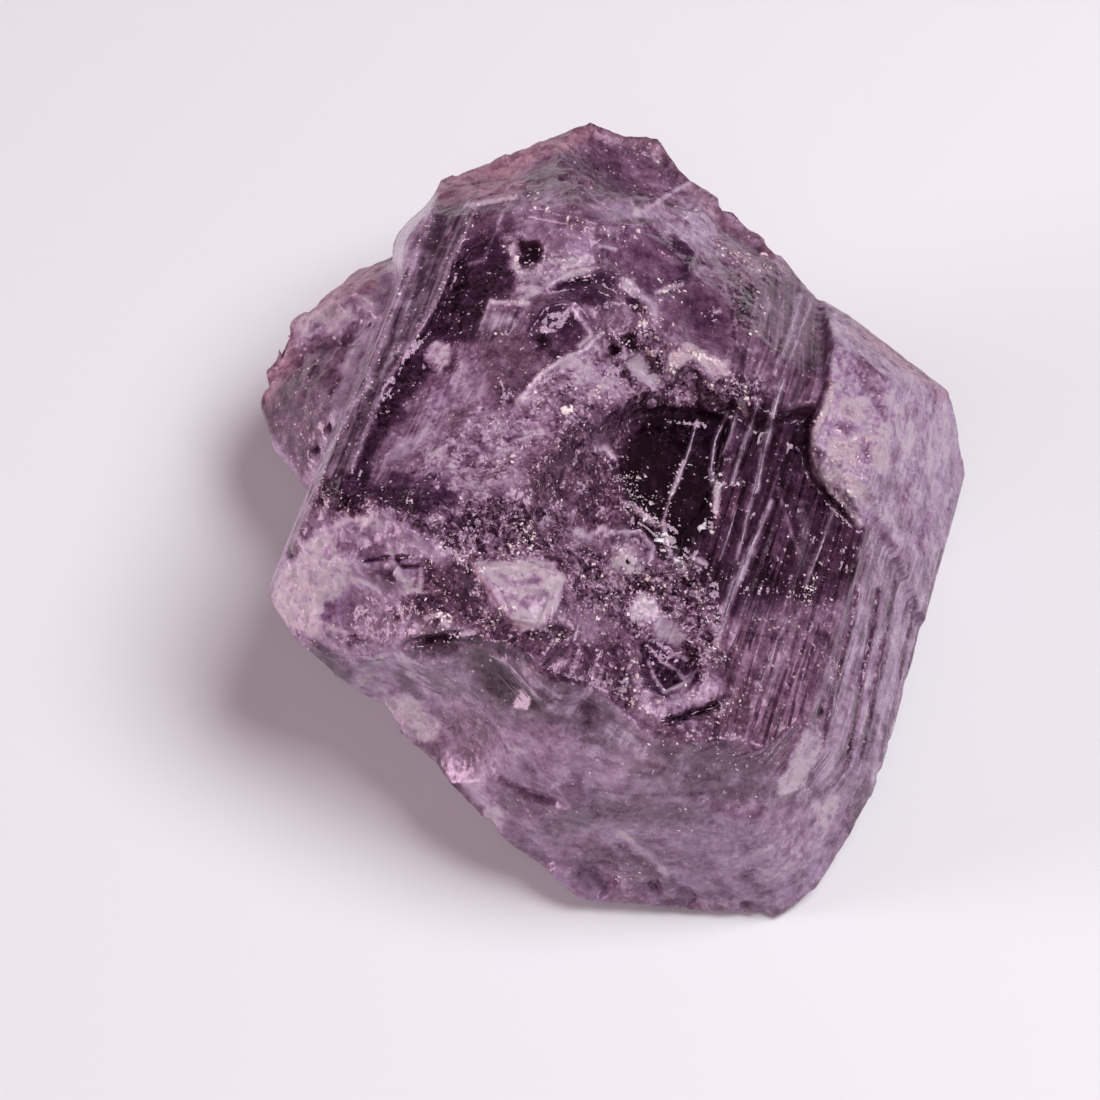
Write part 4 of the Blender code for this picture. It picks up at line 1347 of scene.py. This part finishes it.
SPECKS_PER_DUST, SPECKS_CLEAN, SPECKS_PER_NOISE = 0.28, -0.04, 1.1
SPECK_REACH, SPECK_REACH_CHANGE = 0.36, 0.45
ROUGHNESS_PER_NOISE, LEAST_ROUGHNESS = 0.25, 0.02
print("share of the light that goes in:", TRANSMISSION, "at an IOR of", STONE_IOR)

# %% Facets and slivers
stone = bpy.data.materials.new("purple_scapolite_skin")
stone.use_nodes = True
tree = stone.node_tree
shader = tree.nodes["Principled BSDF"]
shader.inputs["Transmission Weight"].default_value = TRANSMISSION
shader.inputs["IOR"].default_value = STONE_IOR
shader.inputs["Specular Tint"].default_value = SHEEN_TINT
masks = {name: attribute(tree, name) for name in CHANNELS}
surface = place(tree, "ShaderNodeNewGeometry")

slivers = use_group(tree, growth_slivers, {
    "Across": attribute(tree, "across"), "Slivers per mm": SLIVERS_PER_MM,
    "Slivers per m along": SLIVERS_PER_M_ALONG, "Normal": surface.outputs["Normal"],
    "Lean": math_node(tree, "MULTIPLY", masks["lines"], SLIVER_LEAN),
})
cloudy = place(tree, "ShaderNodeTexNoise", {
    "Vector": place(tree, "ShaderNodeTexCoord").outputs["Object"], "Scale": NOISE_PER_M,
    "Detail": NOISE_DETAIL, "Roughness": NOISE_ROUGHNESS,
})
noise = math_node(tree, "SUBTRACT", cloudy.outputs["Fac"], 0.5)
coarse = use_group(tree, small_facets, {
    "Size": COARSE_FACETS_PER_M, "Normal": slivers.outputs["Normal"], "Bend": noise,
    "Lean": times_plus(tree, masks["hackle"], COARSE_LEAN, LEAST_LEAN),
})
fine = use_group(tree, small_facets, {
    "Size": FINE_FACETS_PER_M, "Normal": coarse.outputs["Normal"],
    "Lean": times_plus(tree, masks["hackle"], FINE_LEAN, LEAST_LEAN),
})
tree.links.new(fine.outputs["Normal"], shader.inputs["Normal"])
print("material:", stone.name, "nodes:", len(tree.nodes))

# %% Colour, roughness and depth
# The light and dark bands of the rings are painted shading of their relief.
phase = math_node(tree, "MULTIPLY", attribute(tree, "ripple"), math.tau)
wave = math_node(tree, "SINE", phase)
painted_ring_shade = math_node(tree, "MULTIPLY", wave, attribute(tree, "ripple_share"))
sliver_tone = math_node(tree, "MULTIPLY", slivers.outputs["Shade"], masks["lines"])
facet_tone = math_node(tree, "ADD", coarse.outputs["Shade"], fine.outputs["Shade"])
broken_share = times_plus(tree, masks["hackle"], 1.0, UNBROKEN_TONE)
facet_tone = math_node(tree, "MULTIPLY", facet_tone, broken_share)
toned = times_plus(tree, sliver_tone, SLIVER_TONE, masks["pale"])
toned = times_plus(tree, facet_tone, FACET_TONE, toned)
toned = times_plus(tree, painted_ring_shade, RING_PAINTED_SHADE, toned)
# Milky stone is mottled more than clear stone, and thin pale veins run through it.
mottling = times_plus(tree, masks["pale"], MOTTLING_MILKY, MOTTLING_CLEAR)
pale = times_plus(tree, noise, mottling, toned)
off_line = math_node(tree, "ABSOLUTE", math_node(tree, "SUBTRACT", noise, VEIN_LEVEL))
vein = times_plus(tree, off_line, -VEIN_SHARPNESS, 1.0)
vein = math_node(tree, "MAXIMUM", vein, 0.0)
vein = math_node(tree, "MULTIPLY", vein, masks["hackle"])
pale = times_plus(tree, vein, VEIN_STRENGTH, pale)
colour = use_group(tree, stone_colour, {
    "Pale": pale, "Warm": masks["warm"], "Grey": masks["grey"], "Brown": masks["brown"],
})
# Specks sit in the middle of some fine cells: more of them where the stone is dusty.
dusty = times_plus(tree, masks["dust"], SPECKS_PER_DUST, SPECKS_CLEAN)
dusty = times_plus(tree, noise, SPECKS_PER_NOISE, dusty)
chosen = math_node(tree, "LESS_THAN", fine.outputs["Chance"], dusty)
reach = times_plus(tree, fine.outputs["Shade"], SPECK_REACH_CHANGE, SPECK_REACH)
centre = math_node(tree, "LESS_THAN", fine.outputs["From centre"], reach)
specks = math_node(tree, "MULTIPLY", chosen, centre)
dusted = blend_colour(tree, specks, colour.outputs["Color"], SPECK_COLOUR)
tree.links.new(dusted, shader.inputs["Base Color"])

dull = times_plus(tree, noise, ROUGHNESS_PER_NOISE, masks["rough"])
dull = math_node(tree, "MAXIMUM", dull, LEAST_ROUGHNESS)
tree.links.new(dull, shader.inputs["Roughness"])
absorb = place(tree, "ShaderNodeVolumeAbsorption", {
    "Color": ABSORPTION_COLOUR, "Density": ABSORPTION_DENSITY,
})
tree.links.new(absorb.outputs["Volume"], tree.nodes["Material Output"].inputs["Volume"])
skin.data.materials.clear()
skin.data.materials.append(stone)
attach(skin, "root")
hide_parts("scapolite_crystal")
print("material:", stone.name, "nodes:", len(tree.nodes))

# %% [markdown]
# ## Crust grains
#
# Along the ridges and in the hollows lie crumbs of a white and cream mineral. Each is a
# small angular ball, sunk into the skin, and all of them are one joined mesh. Instances
# would be lighter, but the part has to be plain mesh.

# %% Places along drawn lines
MANY_SMALL = 2.5
dice = np.random.default_rng(21)
tree_now = painted["tree"]


def behind(sheet_place):
    """The stone's point and normal behind a place on the drawing sheet."""
    x, y = sheet_place
    ray = forward + rightward * (x - SHEET / 2) / SHEET_DISTANCE
    ray = ray - upward * (y - SHEET / 2) / SHEET_DISTANCE
    hit, normal, _, _ = tree_now.ray_cast(Vector(eye * MM), Vector(ray).normalized())
    return (None, None) if hit is None else (np.array(hit) / MM, np.array(normal))


def along_lines(rows):
    """Random places along each drawn line, with a random radius, most of them small."""
    for count, stray, least, most, line in rows:
        corners = np.asarray(line, dtype=float)
        lengths = np.hypot(*np.diff(corners, axis=0).T)
        ends = np.cumsum(lengths)
        for _ in range(int(count)):
            at = dice.uniform(0, ends[-1])
            number = min(int(np.searchsorted(ends, at)), len(lengths) - 1)
            share = (at - ends[number] + lengths[number]) / lengths[number]
            spot = corners[number] + share * (corners[number + 1] - corners[number])
            strayed = spot + dice.normal(0, stray, 2)
            yield strayed, least + (most - least) * dice.uniform() ** MANY_SMALL


centre_hit, _ = behind((SHEET / 2, SHEET / 2))
print("behind the middle of the sheet, in mm:", centre_hit.round(2))


# %% Bodies to copy
def ball_template(subdivisions):
    ball = bmesh.new()
    bmesh.ops.create_icosphere(ball, subdivisions=subdivisions, radius=1.0)
    corners = np.array([corner.co for corner in ball.verts])
    faces = np.array([[corner.index for corner in face.verts] for face in ball.faces])
    ball.free()
    return corners, faces


CRUMB_BALL, DUST_BALL = ball_template(2), ball_template(1)
print("corners of a crumb and of a grain of dust:", len(CRUMB_BALL[0]), len(DUST_BALL[0]))

# %% Joined copies
CUTS, CUT_DEPTHS = 5, (0.25, 0.8)
STRETCHES = (0.45, 1.6)
LOWEST_FACING = -0.2


def mesh_from_arrays(name, corners, faces):
    data = bpy.data.meshes.new(name)
    data.vertices.add(len(corners))
    data.vertices.foreach_set("co", (corners * MM).astype(np.float32).ravel())
    data.loops.add(faces.size)
    data.loops.foreach_set("vertex_index", faces.astype(np.int32).ravel())
    data.polygons.add(len(faces))
    starts = np.arange(0, faces.size, faces.shape[1], dtype=np.int32)
    data.polygons.foreach_set("loop_start", starts)
    data.update(calc_edges=True)
    data.validate()
    thing = bpy.data.objects.new(name, data)
    scene.collection.objects.link(thing)
    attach(thing, "root")
    print(name, "faces:", len(faces))
    return thing


def scatter(name, spots, template, shake, flatness, sink):
    """Copies of a small body lying on the stone, each one chipped, shaken and turned."""
    corners, faces = template
    bodies = []
    for spot, radius in spots:
        hit, normal = behind(spot)
        if hit is None or normal[2] < LOWEST_FACING:
            continue
        size = radius / SHEET_UNITS_PER_MM
        cuts = dice.normal(size=(CUTS, 3))
        cuts /= np.linalg.norm(cuts, axis=1)[:, None]
        over = np.maximum(corners @ cuts.T - dice.uniform(*CUT_DEPTHS, CUTS), 0.0)
        shaken = (corners - over @ cuts) * dice.uniform(1 - shake, 1 + shake, (len(corners), 1))
        turned = shaken @ np.linalg.qr(dice.normal(size=(3, 3)))[0]
        stretched = turned * dice.uniform(*STRETCHES, 3)
        stretched -= (1 - flatness) * np.outer(stretched @ normal, normal)
        bodies.append(hit + size * (stretched - sink * normal))
    steps = len(corners) * np.arange(len(bodies))
    all_faces = (faces[None] + steps[:, None, None]).reshape(-1, faces.shape[1])
    return mesh_from_arrays(name, np.concatenate(bodies), all_faces)


print("each copy is cut", CUTS, "times")

# %% The crumbs
# Each: how many, how far they stray, the smallest and largest radius on the sheet, line.
CRUMBS = drawn_rows("""
130 3 0.6 1.8 434,211 391,318 365,384 330,450 311,506
110 2 0.5 1.6 476,206 452,261 433,309 383,389 352,467
60 2 1.0 4.2 672,374 674,356 690,351 705,358 724,368
5 1.2 2.6 5.0 564,412 572,410
9 1.5 1.6 3.6 590,393 603,388
12 2.0 1.4 3.4 510,250 514,256 521,276
9 1.5 1.2 3.0 574,272 590,270
12 1.2 0.9 2.2 493,300 528,303
8 1.5 1.2 2.6 494,332 506,333
12 2.0 1.8 4.2 742,403 746,414
8 2.0 1.8 3.6 636,325 646,322
8 3.0 1.8 3.6 716,243 730,254 742,252
6 1.0 2.0 4.5 650,350 652,356
60 9 0.8 3.0 690,380 720,382 745,390 742,410
60 10 0.6 2.6 600,335 625,345 640,340 655,360 664,392
90 4 0.6 2.2 603,333 585,350 560,360 535,380 519,403
60 5 0.6 3.0 596,394 566,413 555,428 540,440 500,470
70 3 0.5 1.8 684,462 676,482 672,494 664,523
80 5 0.6 2.4 664,524 666,540 671,554 682,566 700,562
50 5 0.6 2.8 712,466 718,488 715,510 704,530
50 3 0.5 1.6 622,488 640,497 663,499
50 3 0.5 1.6 617,479 640,478 645,474
60 4 0.5 1.8 626,503 640,512 657,527
80 7 0.6 2.6 612,546 628,560 645,574 672,590 680,575
90 10 0.6 2.4 500,540 520,555 575,560 600,575 640,585
90 9 0.6 2.6 570,595 590,615 625,605 650,600 680,610
40 5 0.6 2.0 694,575 697,595 700,606
40 9 0.5 2.2 770,585 790,593 805,590 815,600 836,615
50 4 0.7 2.4 802,607 810,590 817,582
36 16 0.5 1.5 730,480 745,560 730,640 745,740
90 4 0.7 2.6 833,386 815,432 813,455 832,492 860,525
90 12 0.7 3.0 835,415 845,445 878,450 840,480 860,500
110 4 0.6 2.6 412,634 430,626 440,614 456,628 478,634 494,620 510,614
60 4 0.6 2.6 522,628 545,624 560,635 577,628
60 10 0.5 1.8 470,204 515,197 560,215 600,225 640,238
50 5 0.9 3.4 515,197 517,184 556,218 570,229 635,236
30 4 1.2 4.2 655,200 664,199 720,238 733,254 767,267
60 5 0.7 2.8 655,293 670,290 684,285
90 9 0.6 2.4 513,245 522,275 560,262 590,272 625,290
60 9 0.6 2.2 628,300 640,318 645,330 665,335
50 12 0.6 2.4 725,262 745,268 765,300 760,340 755,365
70 14 0.5 1.8 290,560 310,600 300,640 350,630 390,600
60 10 0.6 2.2 400,600 425,610 440,580 420,545
50 5 0.6 2.2 440,545 465,560 480,570
60 8 0.7 2.4 520,528 535,540 522,556 510,552
90 10 0.5 1.7 320,500 345,488 380,510 440,530 480,545
70 14 0.5 1.7 400,470 450,480 500,500 540,480 560,450
80 12 0.5 1.6 480,430 520,410 560,400 600,360
70 10 0.6 2.2 620,690 645,705 690,690 722,705 720,745
36 5 0.8 3.0 635,655 640,700 655,715
50 6 0.6 2.2 690,668 712,655 718,640
60 10 0.5 1.6 620,715 655,742 700,748 755,768 770,780
30 6 0.8 3.4 610,876 635,884
40 20 0.5 1.4 540,760 620,780 700,800 760,810
40 14 0.6 1.8 270,400 300,345 330,400 310,450
30 5 0.6 2.2 832,655 838,665 836,680
""")
lumps = scatter("crust_crumbs", along_lines(CRUMBS), CRUMB_BALL,
                shake=0.30, flatness=0.6, sink=0.2)

# %% [markdown]
# ## Dust
#
# Fine pale dust lies over the top of the stone, in drifts. It could be specks of colour
# only, but the larger grains stand up from the glass and cast small shadows. So they are
# tiny balls, and a cloud over the sheet says where they gather.

# %% The dust
DUST_COUNT = 3600
DUST_SIZE = (0.3, 1.3)
DUST_FIELD = ((262, 125), (970, 910))
DRIFT_SIZE = 60.0
DRIFT_LEVELS = (-0.5, 0.9)

grain_places = dice.uniform(*DUST_FIELD, (DUST_COUNT, 2))
flat_places = np.column_stack((grain_places, np.zeros(DUST_COUNT)))
gathered = cloud(flat_places, DRIFT_SIZE, 91, 3) > dice.uniform(*DRIFT_LEVELS, DUST_COUNT)
grain_spots = [(spot, DUST_SIZE[0] + (DUST_SIZE[1] - DUST_SIZE[0]) * dice.uniform() ** 2)
               for spot in grain_places[gathered]]
grains = scatter("dust_grains", grain_spots, DUST_BALL, shake=0.25, flatness=0.7, sink=0.1)

# %% [markdown]
# ## Thin white flakes
#
# Where the glass has been knocked, thin white splinters still lie on it. They are flat
# angular plates, not balls, and they are a little bluish. A pressed box, cut and shaken
# like the crumbs, gives that with eight corners.

# %% Flakes
# Each, as for the crumbs: how many, stray, smallest and largest radius, line.
FLAKES = drawn_rows("""
20 3 1.0 4.3 664,524 658,532 667,540 671,552 664,562
12 2 1.0 3.6 675,560 682,568
12 3 1.0 4.3 712,470 718,490 715,505 722,510
9 3 0.8 2.9 693,555 705,560 712,567
8 2 0.8 2.9 700,525 712,530
9 1 0.8 2.9 684,463 678,480 672,494
11 2 0.7 2.5 616,479 640,478
12 2 0.7 2.5 622,490 637,496 662,498
9 2 0.7 2.5 640,502 665,506
19 3 1.0 4.3 612,548 628,552 642,570
16 3 1.0 3.6 618,508 636,510 656,526
9 2 0.8 2.9 733,478 740,486
12 3 0.8 2.9 768,585 785,593 796,598
12 4 1.0 3.6 700,585 702,605 712,625
""")
BOX = (
    np.array(list(itertools.product((-1.0, 1.0), repeat=3))),
    np.array(((0, 1, 3, 2), (4, 6, 7, 5), (0, 4, 5, 1), (2, 3, 7, 6), (0, 2, 6, 4), (1, 5, 7, 3))),
)
flakes = scatter("white_flakes", along_lines(FLAKES), BOX, shake=0.6, flatness=0.25, sink=0.0)

# %% [markdown]
# ## Growth edges
#
# The longest growth lines are tiny steps, whose edges catch the light as crisp pale
# lines; that pale colour is a painted highlight. They are too thin for the skin's points,
# so each is a strip of its own: a low ridge with three corners, widest in the middle, laid
# along the drawn line.

# %% Lines of the growth edges
# Each: strength of the painted highlight, half width on the sheet, line.
EDGE_LINES = drawn_rows("""
0.8 1.5 698,418 686,460 672,490 663,523
0.7 1.7 728,412 715,440 711,470 714,490
0.6 1.3 737,410 730,435 722,455
0.8 2.0 757,405 748,435 737,465 733,482
0.9 2.2 782,380 771,425 763,455 757,490
0.5 1.3 775,400 768,428 763,440
0.6 1.6 757,475 750,505 742,540 736,560
0.9 2.2 771,501 757,535 745,560 733,590 718,640
0.5 1.4 737,505 730,530 720,560
0.6 1.5 836,505 825,535 815,562 806,585
0.4 1.3 800,610 785,650 765,700
0.4 1.3 786,618 775,645 762,680 753,710
0.6 1.8 799,296 790,335 775,372
0.5 1.5 811,299 795,345 780,388
# crests and fine flow lines of the near end
0.7 1.4 490,655 508,664 525,682 538,698 548,707
0.6 1.2 512,658 530,674 545,688 560,697 575,695 590,688
0.3 0.8 504,671 516,684 530,700
0.3 0.8 498,674 512,690 524,703
0.3 0.8 520,664 536,682 550,698
0.35 0.9 560,700 580,697 600,706 620,724
0.3 0.8 604,712 624,728 644,742
0.3 0.8 602,722 620,736 640,748
0.35 0.9 416,661 430,668 446,667 458,660
0.35 0.9 414,668 428,678 446,679 460,672
0.3 0.8 416,676 432,686 448,688 462,682
0.3 0.8 424,686 440,694 456,695 466,690
0.35 0.9 330,652 350,656 370,655 392,650
0.3 0.8 335,658 356,662 378,660 394,656
""")
print("growth edges:", len(EDGE_LINES))

# %% Strips along the lines
EDGE_STEP = 3.0
EDGE_HEIGHT = 0.04
EDGE_ROOT = 0.02
EDGE_WANDER = 0.10
EDGE_WIDTHS = (0.3, 1.2)
EDGE_TIP = 0.1
FEWEST_ROWS = 4
LONGEST_JUMP = 1.2


def strip_along(line, half_width):
    """Rows of three points, left foot, crest and right foot, along a drawn line."""
    corners = np.asarray(line, dtype=float)
    lengths = np.hypot(*np.diff(corners, axis=0).T)
    ends = np.concatenate(((0,), np.cumsum(lengths)))
    at = np.arange(0, ends[-1], EDGE_STEP)
    spots = np.stack([np.interp(at, ends, corners[:, axis]) for axis in (0, 1)], axis=1)
    drift = np.cumsum(dice.normal(0, EDGE_WANDER, len(at)))
    spots[:, 0] += drift - drift.mean()
    found = [behind(spot) for spot in spots]
    if any(hit is None for hit, _ in found):
        return []
    hits = np.array([hit for hit, _ in found])
    if len(hits) < FEWEST_ROWS or np.abs(np.diff(hits, axis=0)).max() > LONGEST_JUMP:
        return []
    ways = np.gradient(hits, axis=0)
    ways /= np.linalg.norm(ways, axis=1)[:, None]
    taper = np.sin(np.linspace(EDGE_TIP, math.pi - EDGE_TIP, len(hits)))
    widths = half_width / SHEET_UNITS_PER_MM * taper * dice.uniform(*EDGE_WIDTHS, len(hits))
    strip = []
    for (hit, normal), way, width in zip(found, ways, widths):
        side = np.cross(normal, way) * width
        root = EDGE_ROOT * normal
        strip.append((hit - side - root, hit + EDGE_HEIGHT * normal, hit + side - root))
    return strip


strip_points, strip_faces, edge_highlight_strengths = [], [], []
for strength, width, line in EDGE_LINES:
    strip = strip_along(line, width)
    first = len(strip_points)
    strip_points += [point for row in strip for point in row]
    edge_highlight_strengths += [strength] * (3 * len(strip))
    for row in range(len(strip) - 1):
        a = first + 3 * row
        for left, right in ((0, 1), (1, 2), (2, 0)):
            strip_faces.append((a + left, a + right, a + right + 3, a + left + 3))
growth_edges = mesh_from_arrays("growth_edges", np.array(strip_points), np.array(strip_faces))
store(growth_edges, "shade", edge_highlight_strengths)

# %% [markdown]
# ## Materials of the loose pieces
#
# Crumbs, dust and flakes are dull minerals that let hardly any light through, so a plain
# surface in two shades is enough. The growth edges use the same recipe, and each keeps as
# much of its light shade, a painted highlight, as its strength says.

# %% Minerals
EDGE_DARK = (0.14, 0.09, 0.14, 1.0)
SHADE_STOPS = (0.38, 0.58)
DENT_DEPTH = 0.00005


def mineral(name, dark, light, rough, size):
    """A dull mineral in two shades that change from grain to grain."""
    stuff = bpy.data.materials.new(name)
    stuff.use_nodes = True
    tree = stuff.node_tree
    shader = tree.nodes["Principled BSDF"]
    where = place(tree, "ShaderNodeTexCoord").outputs["Object"]
    patches = place(tree, "ShaderNodeTexNoise", {"Vector": where, "Scale": size, "Detail": 3.0})
    shades = place(tree, "ShaderNodeValToRGB", {"Fac": patches.outputs["Fac"]})
    for stop, position, colour in zip(shades.color_ramp.elements, SHADE_STOPS, (dark, light)):
        stop.position, stop.color = position, colour
    dents = place(tree, "ShaderNodeBump", {
        "Height": patches.outputs["Fac"], "Distance": DENT_DEPTH,
    })
    tree.links.new(shades.outputs["Color"], shader.inputs["Base Color"])
    tree.links.new(dents.outputs["Normal"], shader.inputs["Normal"])
    shader.inputs["Roughness"].default_value = rough
    return stuff


for thing, name, dark, light, rough, size in (
    (lumps, "cream_crust", (0.60, 0.42, 0.42, 1.0), (0.93, 0.85, 0.84, 1.0), 0.6, 1400.0),
    (grains, "pale_dust", (0.45, 0.32, 0.40, 1.0), (0.86, 0.76, 0.80, 1.0), 0.5, 900.0),
    (flakes, "white_splinter", (0.62, 0.56, 0.66, 1.0), (0.95, 0.94, 1.0, 1.0), 0.3, 1500.0),
    (growth_edges, "growth_edge_painted_highlight", (0.16, 0.11, 0.16, 1.0), (0.72, 0.62, 0.72, 1.0), 0.25,
     500.0),
):
    thing.data.materials.append(mineral(name, dark, light, rough, size))
    print(thing.name, "is made of", name)

# The light shade of the growth edges is a painted highlight, as strong as each line says.
tree = bpy.data.materials["growth_edge_painted_highlight"].node_tree
patchy = next(node for node in tree.nodes if node.type == "VALTORGB").outputs["Color"]
edge_colour = blend_colour(tree, attribute(tree, "shade"), EDGE_DARK, patchy)
tree.links.new(edge_colour, tree.nodes["Principled BSDF"].inputs["Base Color"])
